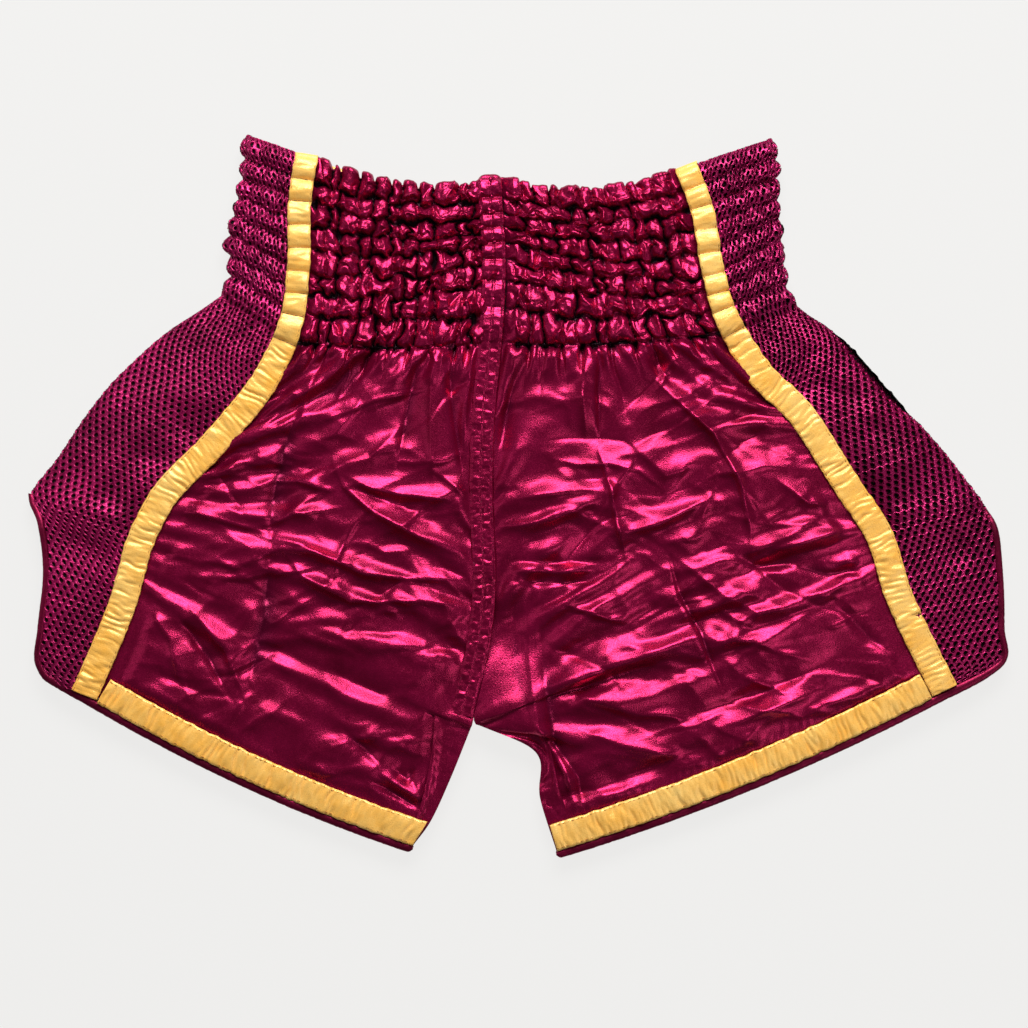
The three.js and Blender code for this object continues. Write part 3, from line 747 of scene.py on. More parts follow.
def satin_panel(half, face, materials):
    """A satin panel from over the waist's top down to the hem: gathers, then the relaxed body."""
    front = face == "front"
    seed = (31 if half["sign"] < 0 else 47) + (0 if front else 5)
    coarse = 1 if front else 2
    detail = (4, 2, 1) if front else (4, 2)
    columns = FINE_COLUMNS // coarse
    waist_rows = np.linspace(0, LANES, LANES * (FINE_LANE_STEPS // coarse) + 1)
    body_rows = np.linspace(LANES, HEM_ROW, FINE_BODY_STEPS // coarse + 1)
    table = crease_table(waist_width(half, face), seed)

    plan, height, painted_shade_factor = waist_satin(half, face, waist_rows, columns, table, seed)
    height = height if front else -np.clip(BACK_SHARE * height, -1.2, 1.5)
    waist = raised(plan, satin_height(plan[..., 1], front) + height)
    body = resample(relaxed_body(half, face, detail), len(body_rows), columns)
    body_painted_shade = creased_body(half, face, body, body_rows, table[LANES], seed)

    cloth = np.concatenate([waist[:-1], body])
    # painted shade factor for the whole panel: none on the turned top
    painted_shade_factor = np.concatenate([np.ones((TURNED_ROWS, columns)), painted_shade_factor[:-1], body_painted_shade])
    rows = np.concatenate([waist_rows[:-1], body_rows])
    steps = np.linalg.norm(np.diff(satin_layout(half, face + "_stripe", rows, columns), axis=0), axis=-1)
    flat = paired(np.linspace(0, CUT_WIDTH[half["sign"]], columns),
                  np.cumsum(np.vstack([0 * steps[:1], steps]), axis=0))
    surface, flat = turned_top(cloth, flat, front)
    name = f"{face}_{half['name']}"
    return make_piece(f"{name}_satin", surface, grid_faces(*surface.shape[:2], flip=not front),
                      materials["satin"], [f"{name}_panel"], flat, painted_shade_factor=painted_shade_factor)


def turned_top(cloth, flat, front):
    """Rows that carry the panel's top edge over the fold and down behind, as the start of the facing."""
    edge, flat_edge = cloth[0], flat[0]
    gap, tail_length, step = 3.2, 9, 0.9
    behind = satin_height(edge[:, 1], front) - gap * (1 if front else -1)
    half_way, radius = (edge[:, 2] + behind) / 2, (edge[:, 2] - behind) / 2
    reach = np.minimum(np.abs(radius), 3.0) * (0.75 if front else 0.6)
    turns = TURNED_ROWS - 1
    rolled, flats = [], []
    for k in range(turns, 0, -1):
        angle = math.pi * k / turns
        rolled.append(np.stack([edge[:, 0], edge[:, 1] + reach * math.sin(angle),
                                half_way + radius * math.cos(angle)], axis=-1))
        flats.append(flat_edge - [0, step * k])
    tail = np.stack([edge[:, 0], edge[:, 1] - tail_length, rolled[0][:, 2]], axis=-1)
    return (np.concatenate([[tail], rolled, cloth]),
            np.concatenate([[flats[0] - [0, tail_length]], flats, flat]))


# ---------------------------------------------------------------- materials

class Nodes:
    """A short way to write a material's node tree."""

    def __init__(self, name):
        self.material = bpy.data.materials.new(name)
        self.material.use_nodes = True
        self.tree = self.material.node_tree
        self.shader = self.tree.nodes["Principled BSDF"]

    def add(self, kind, **inputs):
        node = self.tree.nodes.new(kind)
        for key, value in inputs.items():
            socket = node.inputs.get(key.replace("_", " "))
            if socket is not None:
                socket.default_value = value
            else:
                setattr(node, key, value)
        return node

    def link(self, a, b):
        self.tree.links.new(a, b)

    def ramp(self, factor, stops):
        ramp = self.add("ShaderNodeValToRGB")
        points = ramp.color_ramp.elements
        while len(points) < len(stops):
            points.new(0.5)
        for point, (at, colour) in zip(points, stops):
            point.position = at
            point.color = (*colour, 1)
        self.link(factor, ramp.inputs["Fac"])
        return ramp.outputs["Color"]

    def bump(self, height, strength, distance, below=None):
        bump = self.add("ShaderNodeBump", Strength=strength, Distance=distance)
        self.link(height, bump.inputs["Height"])
        if below is not None:
            self.link(below, bump.inputs["Normal"])
        return bump.outputs["Normal"]

    def range(self, value, low, high):
        """A noise value, which lies mostly between 0.3 and 0.7, spread from low to high."""
        node = self.add("ShaderNodeMapRange", From_Min=0.3, From_Max=0.7, To_Min=low, To_Max=high)
        self.link(value, node.inputs["Value"])
        return node.outputs["Result"]


MIX_A, MIX_B, MIX_RESULT = 6, 7, 2       # colour sockets of a mix node


def woven(name, dark, light, rough, metallic, grain, thread=0.00045, creased_and_shaded=False):
    """A woven cloth: fine threads both ways, a grainy sparkle and slow colour variation.

    thread is the spacing of the threads in metres; creased cloth also gets a ridged crumple bump, and shade
    painted into its colour down in its creases."""
    n = Nodes(name)
    place = n.add("ShaderNodeTexCoord")
    slow = n.add("ShaderNodeTexNoise", Scale=38.0, Detail=8.0, Roughness=0.72)
    n.link(place.outputs["Object"], slow.inputs["Vector"])
    colour = n.ramp(slow.outputs["Fac"], [(0.32, dark), (0.7, light)])
    if creased_and_shaded:
        # painted shade: the base colour is multiplied darker, tinted blue, where the painted shade factor
        # falls in the creases
        painted_shade_factor = n.add("ShaderNodeAttribute", attribute_name="painted_shade_factor")
        shade = n.ramp(painted_shade_factor.outputs["Fac"], [(0.0, (0.03, 0.05, 0.07)), (0.4, (0.62, 0.66, 0.74)),
                                                  (0.8, (1, 1, 1))])
        darkened = n.add("ShaderNodeMix", data_type="RGBA", blend_type="MULTIPLY", Factor=1.0)
        n.link(colour, darkened.inputs[MIX_A])
        n.link(shade, darkened.inputs[MIX_B])
        colour = darkened.outputs[MIX_RESULT]
    n.link(colour, n.shader.inputs["Base Color"])
    grainy = n.add("ShaderNodeTexNoise", Scale=1200.0, Detail=2.0, Roughness=0.7)
    n.link(place.outputs["Object"], grainy.inputs["Vector"])
    n.link(n.range(grainy.outputs["Fac"], rough - 0.10, rough + 0.13), n.shader.inputs["Roughness"])
    threads = []
    for direction in ("X", "Y"):
        wave = n.add("ShaderNodeTexWave", Scale=1.0 / thread / math.tau, Distortion=0.8, Detail=1.0,
                     bands_direction=direction)
        n.link(place.outputs["UV"], wave.inputs["Vector"])
        threads.append(wave.outputs["Fac"])
    both = n.add("ShaderNodeMath", operation="ADD")
    n.link(threads[0], both.inputs[0])
    n.link(threads[1], both.inputs[1])
    weave = n.bump(both.outputs[0], 0.16, 0.00006)
    if creased_and_shaded:
        crumpled = n.add("ShaderNodeTexNoise", noise_type="RIDGED_MULTIFRACTAL", Scale=75.0, Detail=2.5,
                         Roughness=0.5, Distortion=0.5)
        n.link(place.outputs["Object"], crumpled.inputs["Vector"])
        weave = n.bump(crumpled.outputs["Fac"], 0.35, 0.0009, weave)
    normal = n.bump(grainy.outputs["Fac"], grain, 0.00022, weave)
    n.link(normal, n.shader.inputs["Normal"])
    n.shader.inputs["Metallic"].default_value = metallic
    return n.material


def make_materials():
    magenta = (0.23, 0.001, 0.033), (0.41, 0.005, 0.070)
    return {
        "satin": woven("magenta_satin", *magenta, 0.28, 0.77, 0.55, creased_and_shaded=True),
        "seam": woven("magenta_satin_seam", *magenta, 0.30, 0.75, 0.35),
        "ribbon": woven("gold_ribbon", (1.0, 0.47, 0.06), (1.0, 0.63, 0.18), 0.32, 0.14, 0.8, 0.0006),
        "binding": woven("maroon_binding", (0.12, 0.001, 0.020), (0.24, 0.003, 0.042), 0.38, 0.8, 0.35,
                         0.0006),
        "mesh": woven("air_mesh_yarn", (0.21, 0.0015, 0.048), (0.50, 0.010, 0.125), 0.26, 0.66, 1.0,
                      0.0005),
        "lining": woven("black_lining", (0.001, 0.0006, 0.0006), (0.004, 0.002, 0.002), 0.95, 0.5, 0.4,
                        0.0007),
        "elastic": woven("white_elastic", (0.55, 0.53, 0.49), (0.78, 0.76, 0.72), 0.7, 0.0, 0.4, 0.0008),
        "gold_thread": woven("gold_thread", (0.30, 0.10, 0.012), (0.50, 0.20, 0.03), 0.5, 0.1, 0.2, 0.0003),
        "thread": woven("maroon_thread", (0.10, 0.003, 0.025), (0.22, 0.01, 0.05), 0.45, 0.1, 0.2,
                        0.0003),
    }


# ---------------------------------------------------------------- camera, floor and light

def stage_and_camera():
    floor_mesh = bpy.data.meshes.new("floor")
    reach = 12.0                         # metres
    floor_mesh.from_pydata([(-reach, -reach, 0), (reach, -reach, 0), (reach, reach, 0), (-reach, reach, 0)],
                           [], [(0, 1, 2, 3)])
    floor = bpy.data.objects.new("floor", floor_mesh)
    bpy.context.scene.collection.objects.link(floor)
    n = Nodes("pale_floor")
    n.shader.inputs["Base Color"].default_value = (0.04, 0.04, 0.039, 1)
    n.shader.inputs["Roughness"].default_value = 0.9
    n.shader.inputs["Emission Color"].default_value = (1, 0.992, 0.978, 1)
    n.shader.inputs["Emission Strength"].default_value = 0.812
    floor_mesh.materials.append(n.material)

    scene = bpy.context.scene
    world = bpy.data.worlds.new("studio")
    world.use_nodes = True
    world.node_tree.nodes["Background"].inputs["Color"].default_value = (0.9, 0.93, 1, 1)
    world.node_tree.nodes["Background"].inputs["Strength"].default_value = 0.10
    scene.world = world
    scene.view_settings.view_transform = "Standard"
    scene.view_settings.look = "None"

    def softbox(name, place, size, power, target=(0, 0, 0)):
        light = bpy.data.lights.new(name, "AREA")
        light.shape = "RECTANGLE"
        light.size, light.size_y = size
        light.energy = power
        lamp = bpy.data.objects.new(name, light)
        lamp.location = place
        lamp.rotation_euler = (Vector(target) - Vector(place)).to_track_quat("-Z", "Y").to_euler()
        scene.collection.objects.link(lamp)

    softbox("key_softbox", (0.05, 1.25, 1.15), (1.2, 0.75), 44)
    softbox("side_softbox", (-1.2, 0.1, 0.8), (0.3, 1.0), 1.0)
    softbox("fill_softbox", (0.9, -0.7, 1.2), (0.6, 0.6), 3)

    camera = bpy.data.objects.new("camera", bpy.data.cameras.new("camera"))
    camera.data.lens = 85
    camera.data.sensor_width = 36
    view_width = 0.5654
    camera.location = (-0.0014, -0.0105, 0.015 + view_width * camera.data.lens / camera.data.sensor_width)
    scene.collection.objects.link(camera)
    scene.camera = camera


# ---------------------------------------------------------------- ribbons, seam bands and stitches

def sideways(line, row):
    """Unit normals of a line in plan, to the left of its way down."""
    step = 0.04
    way = unit(line(row + step) - line(row - step))
    return paired(-way[:, 1], way[:, 0])


def arc_rows(line, first, last, step):
    """Rows at an even spacing in mm along a line, and the length reached at each."""
    fine = np.linspace(first, last, 800)
    length = length_along(line(fine))
    even = np.arange(0, length[-1], step)
    return np.interp(even, length, fine), even


BAND_THICKNESS = 0.45
TURNED_BAND_ROWS = 9                    # rows of points of a band behind the waist's top


def turn_over(points, outward):
    """Extra rows that carry the first row of a grid over the waist's top and down behind it."""
    edge = points[0]
    turns, radius, tail = TURNED_BAND_ROWS - 1, 2.3, 7.0
    rows = []
    for k in range(turns, 0, -1):
        angle = math.pi * k / turns
        rows.append(edge + [0, radius * math.sin(angle), 0] - outward * radius * (1 - math.cos(angle)))
    return np.concatenate([[rows[0] - [0, tail, 0]], rows, points])


def band(name, line, rows, low, high, height, columns, material, node, front, seed, step=0.8,
         over_top=False, top_corner=0.0, end_lean=0.0):
    """A strip sewn on the cloth along a line, from low(row) to high(row) beside it.

    height(row, along, q) is measured above the sheet; q runs from -1 to 1 across the strip."""
    at, length = arc_rows(line, *rows, step)
    centre, across = line(at), sideways(line, at)
    q = np.linspace(0, 1, columns)
    offset = low(at)[:, None] * (1 - q) + high(at)[:, None] * q
    wander = 0.45 * noise(length / 5.0, 0 * length, seed)[:, None]
    plan = centre[:, None] + across[:, None] * (offset + wander)[..., None]
    lift = height(at[:, None], length[:, None], q[None] * 2 - 1)
    plan[..., 1] -= top_corner * np.abs(q * 2 - 1) ** 4 * np.exp(-length / 3)[:, None]
    lean = end_lean * np.exp((length - length[-1]) / 9)[:, None] * q
    plan = plan + unit(np.gradient(centre, axis=0))[:, None] * lean[..., None]
    y = plan[..., 1]
    points = raised(plan, front_height(y) + lift if front else np.maximum(BACK_HEIGHT - 0.35 * lift, 0.25))
    flat = paired(offset, length[:, None])
    if over_top:
        points = turn_over(points, np.array([0, 0, 1.0 if front else -1.0]))
        flat = np.concatenate([flat[:1] - [0, k] for k in range(TURNED_BAND_ROWS, 0, -1)] + [flat])
    piece = make_piece(name, points, grid_faces(*points.shape[:2], flip=not front), material, [node],
                       flat, BAND_THICKNESS, np.ones(points.shape[:2]))
    return piece, points, np.concatenate([np.zeros(len(points) - len(at)), at])


def ribbon_height(seed, calmest=0.25):
    """Height of a ribbon over the cloth: lane pillows in the waist, cross puckers below.

    calmest is the share of the puckers' strength that is left where the ribbon lies smoothest."""
    def height(row, along, q):
        wave = lane_wave(row)
        below = smooth(row, 7.6, 8.4)
        pillow = 3.0 * wave**0.45 + 0.5 * (1 - smooth(row, 7.5, 9.0))
        pillow = pillow + 0.9 * noise(np.floor(row) * 3.7 + 0.5, q * 0.7, seed + 3) * wave
        crown = 0.45 * (1 - q**4)
        bent = along + 1.5 * noise(along / 17, q * 0.8, seed + 5)
        part = calmest + (1 - calmest) * smooth(noise(along / 26, 0 * q, seed + 6), -0.35, 0.35)
        pucker = noise(bent / 3.1, q * 0.45, seed + 1)
        pucker = (0.3 - np.sqrt(pucker * pucker + 0.012)) * (0.8 + 1.7 * below * part) * (1 - 0.6 * q**4)
        fine = noise(bent / 1.2, q * 0.9, seed + 2) * 0.13
        broad = noise(along / 7.5 + q * 0.3, q * 0.5, seed + 7) * (0.8 - 0.1 * below)
        return 1.75 + pillow + crown + pucker + fine + broad * (1 - 0.4 * q * q)
    return height


class Stitches:
    """Short thread capsules gathered into one piece."""

    SIDES = 6
    LENGTH, WIDTH = 2.1, 0.42
    RINGS = ((-1.0, 0.35), (-0.7, 0.9), (0.7, 0.9), (1.0, 0.35))     # (place along, size) of each ring

    def __init__(self):
        self.points, self.faces, self.count = [], [], 0

    def run(self, line, pitch=2.9, lift=0.12):
        """Stitches along a line of points."""
        length = length_along(line)
        for at in np.arange(pitch / 2, length[-1], pitch):
            ends = [np.array([np.interp(at + d, length, line[:, k]) for k in range(3)])
                    for d in (-self.LENGTH / 2, self.LENGTH / 2)]
            along_thread = (ends[1] - ends[0]) / 2
            middle = (ends[0] + ends[1]) / 2 + [0, 0, lift]
            side = unit(np.cross(along_thread, [0, 0, 1.0]))
            upward = np.cross(side, unit(along_thread))
            for place, size in self.RINGS:
                for k in range(self.SIDES):
                    turn = math.tau * k / self.SIDES
                    radius = self.WIDTH / 2 * size
                    self.points.append(middle + along_thread * place
                                       + side * radius * math.cos(turn) + upward * radius * math.sin(turn))
            self.count += 1

    def finish(self, name, slot, material):
        sides, rings = self.SIDES, len(self.RINGS)
        k = np.arange(sides)
        quads = [np.stack([r * sides + k, r * sides + (k + 1) % sides,
                           (r + 1) * sides + (k + 1) % sides, (r + 1) * sides + k], axis=-1)
                 for r in range(rings - 1)]
        first = (np.arange(self.count) * sides * rings)[:, None, None]
        faces = (np.concatenate(quads)[None] + first).reshape(-1, 4)
        return make_piece(name, np.array(self.points), faces, material)


EDGE_COLUMNS = (1, -2)                   # columns of a ribbon's points that carry its stitches
SEAM_COLUMNS = 27


def stripes(materials, stitches):
    pieces = {}
    for half, face in QUARTERS:
        name = f"{face}_{half['name']}"
        piece, points, at = band(
            f"{name}_gold_stripe", half[face + "_stripe_line"], (0, HEM_ROW), lambda row: -stripe_half(row),
            stripe_half, ribbon_height(40 + len(pieces)), 15, materials["ribbon"],
            f"{name}_stripe", face == "front", seed=61 + len(pieces), over_top=True)
        pieces[face, half["name"]] = piece
        if face == "front":
            sewn, at = points[TURNED_BAND_ROWS + 1:], at[TURNED_BAND_ROWS + 1:]
            for column in EDGE_COLUMNS:
                stitches["ribbon"].run(sewn[:, column])
            for lane in range(1, LANES + 1):
                stitches["seam"].run(sewn[np.argmin(np.abs(at - lane))], pitch=2.4, lift=0.25)
    return pieces


HEM_SAG = 6                              # how far the middle of the hem hangs below its ends


def hem_line(half, face="front"):
    """The satin's foot in plan, from the stripe to the inseam, as a function of a share from 0 to 1."""
    def line(share):
        share = np.asarray(share, float)[..., None]
        start = half[face + "_stripe_line"](HEM_ROW)
        end = half["inseam_line"](HEM_ROW)
        plan = start * (1 - share) + end * share
        plan[..., 1] -= HEM_SAG * 4 * share[..., 0] * (1 - share[..., 0])
        return plan
    return line


def hem_ribbons(materials, stitches):
    pieces = {}
    for half, face in QUARTERS:
        name = f"{face}_{half['name']}"
        inside = -half["sign"]
        span = np.hypot(*(half["inseam_line"](HEM_ROW) - half["front_stripe_line"](HEM_ROW)))
        first = stripe_half(HEM_ROW) * 1.02 / span
        low, high = sorted((0, inside * RIBBON_WIDTH))
        seed = 80 + len(pieces)
        straight = ribbon_height(seed, calmest=0.7)
        piece, points, _ = band(
            f"{name}_gold_hem", hem_line(half, face), (first, 1.0), lambda share: 0 * share + low,
            lambda share: 0 * share + high, lambda share, along, q: straight(HEM_ROW + 0 * share, along, q),
            13, materials["ribbon"], f"{name}_hem_ribbon", face == "front", seed=seed + 3,
            end_lean=3.6 if inside > 0 else 0.0)
        pieces[face, half["name"]] = piece
        if face == "front":
            for column in EDGE_COLUMNS:
                stitches["ribbon"].run(points[:, column])
    return pieces


def centre_bands(materials, stitches):
    """The felled centre seam: a flat doubled strip, finely puckered between its rows of stitches."""
    def height(row, along, q):
        in_waist = 1 - smooth(row, 7.8, 8.3)
        pillow = 2.6 * lane_wave(row) ** 0.6 + 0.3 * in_waist
        bent = along + 0.8 * noise(along / 6, q * 1.4, 305)
        fine = noise(bent / 1.6, q * 1.1, 301) * 0.26
        broad = noise(bent / 3.8 + 4, q * 1.2, 302) * 0.6
        hollow = sum(0.55 * np.exp(-(((q - at) / 0.08) ** 2)) for at in SEAM_STITCHES)
        return 1.1 + pillow + (fine + broad) * (1 - q**6) - hollow - 0.9 * smooth(np.abs(q), 0.86, 1.0)
    pieces = {}
    for face in ("front", "back"):
        pieces[face], points, _ = band(
            f"centre_{face}_felled_seam", centre_line, (0, CROTCH_ROW),
            lambda row: 0 * row - SEAM_BAND_WIDTH, lambda row: 0 * row, height, SEAM_COLUMNS,
            materials["satin"], f"centre_{face}_seam", face == "front", seed=303, step=0.6, over_top=True,
            top_corner=2.6)
        if face == "front":
            for at in SEAM_STITCHES:
                column = round((at + 1) / 2 * (SEAM_COLUMNS - 1))
                stitches["seam"].run(points[TURNED_BAND_ROWS + 1:, column], pitch=2.6, lift=0.05)
    return pieces


# ---------------------------------------------------------------- side mesh and its lining

HOLE_PITCH = 4.5                        # of the holes along a row of knitting
HOLE_ROW = 3.3                          # from one row of holes to the next
HOLE_LEAN = math.atan2(HOLE_PITCH / 2, HOLE_ROW)
CELL_POINTS = 12                        # round each hole
SIDE_ROWS = 300
SIDE_COLUMNS = 90
LANE_LENGTH = 12.0                      # of flat mesh in one row of the waistband
BODY_LENGTH = 21.5                      # of flat mesh in one row below it
ROLL = 0.62                             # rows of the roll over the waist's top
VENT_SPREAD = 16.0                      # how much flatter the edge lies where the vent is open


def side_gather(row):
    """How many times the space it lies in the mesh is wide."""
    return 1.04 + 0.62 * (1 - smooth(row, LANES, LANES + 3))


def vent_spread(rows):
    return VENT_SPREAD * smooth(rows, VENT_ROW, VENT_ROW + 1.2)


def side_surface(half, face):
    """A grid of points on one face of the side panel, from the fold (first column) to the stripe."""
    sign = half["sign"]
    rows = np.linspace(0, HEM_ROW, SIDE_ROWS)
    stripe, side = half[face + "_stripe_line"](rows), half["side_line"](rows)
    reach = np.abs(side[:, 0] - stripe[:, 0])[:, None]
    spread = vent_spread(rows)[:, None]
    angle = np.arcsin(reach / (reach + spread)) * np.linspace(1, 0, 400)[None] ** 0.8
    share = np.sin(angle) * (reach + spread) / reach
    plan = stripe[:, None] * (1 - share[..., None]) + side[:, None] * share[..., None]
    fold = fold_height(plan[..., 1])
    if face == "front":
        z = fold + (front_height(plan[..., 1]) - fold) * np.cos(angle)
    else:
        z = fold - (fold - BACK_HEIGHT - 0.4) * np.cos(angle)
    points, width = np.empty((SIDE_ROWS, SIDE_COLUMNS, 3)), side_gather(rows)
    for i, fine in enumerate(raised(plan, z)):
        length = length_along(fine)
        at = np.linspace(0, length[-1], SIDE_COLUMNS)
        for k in range(3):
            points[i, :, k] = np.interp(at, length, fine[:, k])
        width[i] *= length[-1]

    out = outward(points, face)
    from_fold = np.linspace(0, 1, SIDE_COLUMNS)[None] * width[:, None]
    row = rows[:, None]
    wave = lane_wave(row)
    seed = sign + (0 if face == "front" else 50)
    lane = np.floor(np.minimum(row, LANES - 0.5))
    pleat = noise(from_fold / 10.0 + 0.4 * noise(from_fold / 20, row * 0.6, 7), lane * 0.5, 120 + seed)
    in_waist = 1 - smooth(row, LANES - 0.05, LANES + 0.05)
    fade = 1 - smooth(row, LANES, LANES + 2.2)
    small = noise(from_fold / 4.6 + noise(from_fold / 13, row * 0.8, 9), row * 1.1, 170 + seed)
    puff = (3.3 * wave**0.6 - 0.9) * in_waist
    puff = puff + (1.9 * pleat + 1.1 * small) * fade * (0.35 + 0.65 * wave * in_waist)
    body = 1 - fade
    swell = 3.6 * layered_noise(from_fold / 46, row * 0.36, 140 + seed) * body
    if face == "front":
        swell = swell + vent_ridge(points[..., 1], from_fold / width[:, None]) * body
    seam = smooth(np.linspace(1, 0, SIDE_COLUMNS), 0, 0.10)[None]
    fold_side = np.exp(-((from_fold / 16) ** 2))
    lift = puff * (0.25 + 0.75 * seam) + swell * seam * (1 - 0.7 * fold_side)
    lift = lift - 3.4 * pulled_in(sign, row) * np.exp(-((from_fold / 4) ** 2))
    if face == "back":
        lift = np.where(out[..., 2] < -0.5, 0.25 * np.clip(lift, -1, 2.0), lift)
    points = points + out * lift[..., None]
    points[..., 1] += 1.6 * noise(from_fold / 9, row * 0.8, 190 + sign) * fade * seam * smooth(row, 0, 0.6)
    points[..., 0] += 1.0 * noise(from_fold / 7, row * 1.3, 191 + sign) * fade * seam
    points[..., 2] = np.maximum(points[..., 2], 0.35)
    return points, width, rows


def vent_ridge(y, share):
    """The soft ridge across the side panel level with the vent's top, and the valley below it."""
    above = y + 14 - 9 * (1 - share)
    ridge = 4.6 * np.exp(-np.sqrt((above / 9) ** 2 + 0.15)) - 1.8 * np.exp(-(((above + 22) / 9) ** 2))
    return ridge * smooth(1 - share, 0.04, 0.3)


def pulled_in(sign, row):
    """1 where the left mesh sits back from its fold and lets the lining show."""
    return (smooth(row, 9.1, 10.5) - smooth(row, 11.7, 12.9)) * (sign > 0)


def outward(points, face):
    """Unit normals of a grid, pointing out of the garment."""
    normal = unit(np.cross(np.gradient(points, axis=0), np.gradient(points, axis=1)))
    wanted = 1 if face == "front" else -1
    return normal * (1 if normal[:, -1, 2].mean() * wanted > 0 else -1)


class SidePanel:
    """The side panel's surface as a function of flat cloth coordinates: u from the fold, v down."""

    def __init__(self, half):
        self.faces = {}
        for face in ("front", "back"):
            points, width, rows = side_surface(half, face)
            self.faces[face] = (points, outward(points, face), width)
        self.rows = rows
        self.length = LANES * LANE_LENGTH + (HEM_ROW - LANES) * BODY_LENGTH

    def row_of(self, v):
        return np.where(v < LANES * LANE_LENGTH, v / LANE_LENGTH,
                        LANES + (v - LANES * LANE_LENGTH) / BODY_LENGTH)

    def width_at(self, face, v):
        return np.interp(self.row_of(v), self.rows, self.faces[face][2])

    def place(self, face, u, v, lift):
        """Points on the panel for flat coordinates, raised by lift along the outward normal."""
        points, normals, width = self.faces[face]
        row = self.row_of(v)
        i = np.clip(row, 0, HEM_ROW) / HEM_ROW * (SIDE_ROWS - 1)
        j = np.clip(u / np.interp(row, self.rows, width), 0, 1) * (SIDE_COLUMNS - 1)
        i0 = np.minimum(i.astype(int), SIDE_ROWS - 2)
        j0 = np.minimum(j.astype(int), SIDE_COLUMNS - 2)
        ti, tj = (i - i0)[..., None], (j - j0)[..., None]

        def sample(grid):
            top = grid[i0, j0] * (1 - tj) + grid[i0, j0 + 1] * tj
            bottom = grid[i0 + 1, j0] * (1 - tj) + grid[i0 + 1, j0 + 1] * tj
            return top * (1 - ti) + bottom * ti

        at, normal = sample(points), sample(normals)
        angle = np.clip(-row / ROLL, 0, 1)[..., None] * math.pi
        radius = 2.2
        rolled = at + np.array([0, radius, 0]) * np.sin(angle) - normal * radius * (1 - np.cos(angle))
        turned = normal * np.cos(angle) + np.array([0, 1, 0]) * np.sin(angle)
        return rolled + turned * lift[..., None]


def border_ring():
    """Points round a cell's border, as offsets in cell units: its corners and the middles between."""
    corners = np.array([(0, -2), (1.5, -1), (1.5, 1), (0, 2), (-1.5, 1), (-1.5, -1)]) / 3
    middles = (corners + np.roll(corners, -1, axis=0)) / 2
    return np.stack([corners, middles], axis=1).reshape(-1, 2)


def oval_ring(narrow, long):
    """Points round a leaning oval of these half widths in mm, as offsets in cell units."""
    turn = -math.pi / 2 + np.arange(CELL_POINTS) * math.tau / CELL_POINTS
    lean = np.array([[HOLE_ROW, HOLE_PITCH / 2], [-HOLE_PITCH / 2, HOLE_ROW]])
    lean = lean / np.hypot(HOLE_PITCH / 2, HOLE_ROW)
    across, along_hole = narrow * np.cos(turn + HOLE_LEAN), long * np.sin(turn + HOLE_LEAN)
    ring = across[:, None] * lean[0] + along_hole[:, None] * lean[1]
    return ring / [HOLE_PITCH, HOLE_ROW]


def cell_centres(panel, pitch, step, top):
    """The flat coordinates of the staggered holes on both faces of a side panel."""
    centres = []
    for k in range(int((panel.length - top) / step) + 1):
        v = top + k * step
        reach_front, reach_back = panel.width_at("front", v), panel.width_at("back", v)
        first = -math.ceil(reach_front / pitch)
        for i in range(first, math.ceil(reach_back / pitch) + 1):
            u = (i + 0.5 * (k % 2)) * pitch
            if -reach_front - pitch * 0.3 < u < reach_back + pitch * 0.3:
                centres.append((u, v))
    return np.array(centres)


def mesh_lattice(half, material):
    """The knitted air mesh as real geometry: a lattice of rounded strands round staggered holes."""
    panel = SidePanel(half)
    coarse = 1.0
    pitch, step = HOLE_PITCH * coarse, HOLE_ROW * coarse
    top = -ROLL * LANE_LENGTH
    centres = cell_centres(panel, pitch, step, top)
    vent = LANES * LANE_LENGTH + (VENT_ROW - LANES) * BODY_LENGTH

    # the points of every cell: rings from its border, over the strand's crest, down into the hole
    rings = [(border_ring(), -0.02), (oval_ring(1.52, 1.64), 0.42), (oval_ring(1.14, 1.30), 0.1),
             (oval_ring(1.00, 1.16), -0.6)]
    per_cell = len(rings) * CELL_POINTS
    jitter = 0.10 * noise(centres[:, 0] / 3.1, centres[:, 1] / 2.7, 909)[:, None, None]
    uv = np.stack([centres[:, None] + ring * (1 + jitter * (n > 0)) * [pitch, step]
                   for n, (ring, _) in enumerate(rings)], axis=1).reshape(-1, 2)
    lift = np.tile(np.repeat([lift * coarse for _, lift in rings], CELL_POINTS), len(centres))
    belongs = np.repeat(centres[:, 0], per_cell)
    below_vent = np.repeat(centres[:, 1], per_cell) > vent
    u = uv[:, 0]
    u = np.where(below_vent & (belongs < 0), np.minimum(u, -1e-3), u)
    u = np.where(below_vent & (belongs >= 0), np.maximum(u, 1e-3), u)
    v = np.minimum(uv[:, 1], panel.length)
    points = np.where((u < 0)[:, None], panel.place("front", np.abs(u), v, lift),
                      panel.place("back", np.abs(u), v, lift))
    first_points = np.arange(len(centres))[:, None, None] * per_cell
    first_points = first_points + np.arange(len(rings) - 1)[None, :, None] * CELL_POINTS
    k = np.arange(CELL_POINTS)
    a, b = first_points + k, first_points + (k + 1) % CELL_POINTS
    faces = np.stack([a, b, b + CELL_POINTS, a + CELL_POINTS], axis=-1).reshape(-1, 4)

    # neighbouring cells share the points of their borders, but not across the open vent
    key = np.round(np.stack([u, v, lift, np.where(below_vent, np.sign(belongs), 0)], axis=-1) * 50)
    _, first, group = np.unique(key.astype(np.int64), axis=0, return_index=True, return_inverse=True)
    faces = group.reshape(-1)[faces]
    faces = faces[:, ::-1] if half["sign"] > 0 else faces
    piece = make_piece(f"{half['name']}_air_mesh", points[first], faces, material,
                       [f"{half['name']}_mesh_panel"], paired(u, v)[first])
    width, length, _ = PATTERNS[piece.name]
    down = np.linspace(top, panel.length, 400)
    area = (panel.width_at("front", down) + panel.width_at("back", down)).mean() * (panel.length - top)
    PATTERNS[piece.name] = width, length, area            # with the holes, as the cloth is cut
    return piece, panel


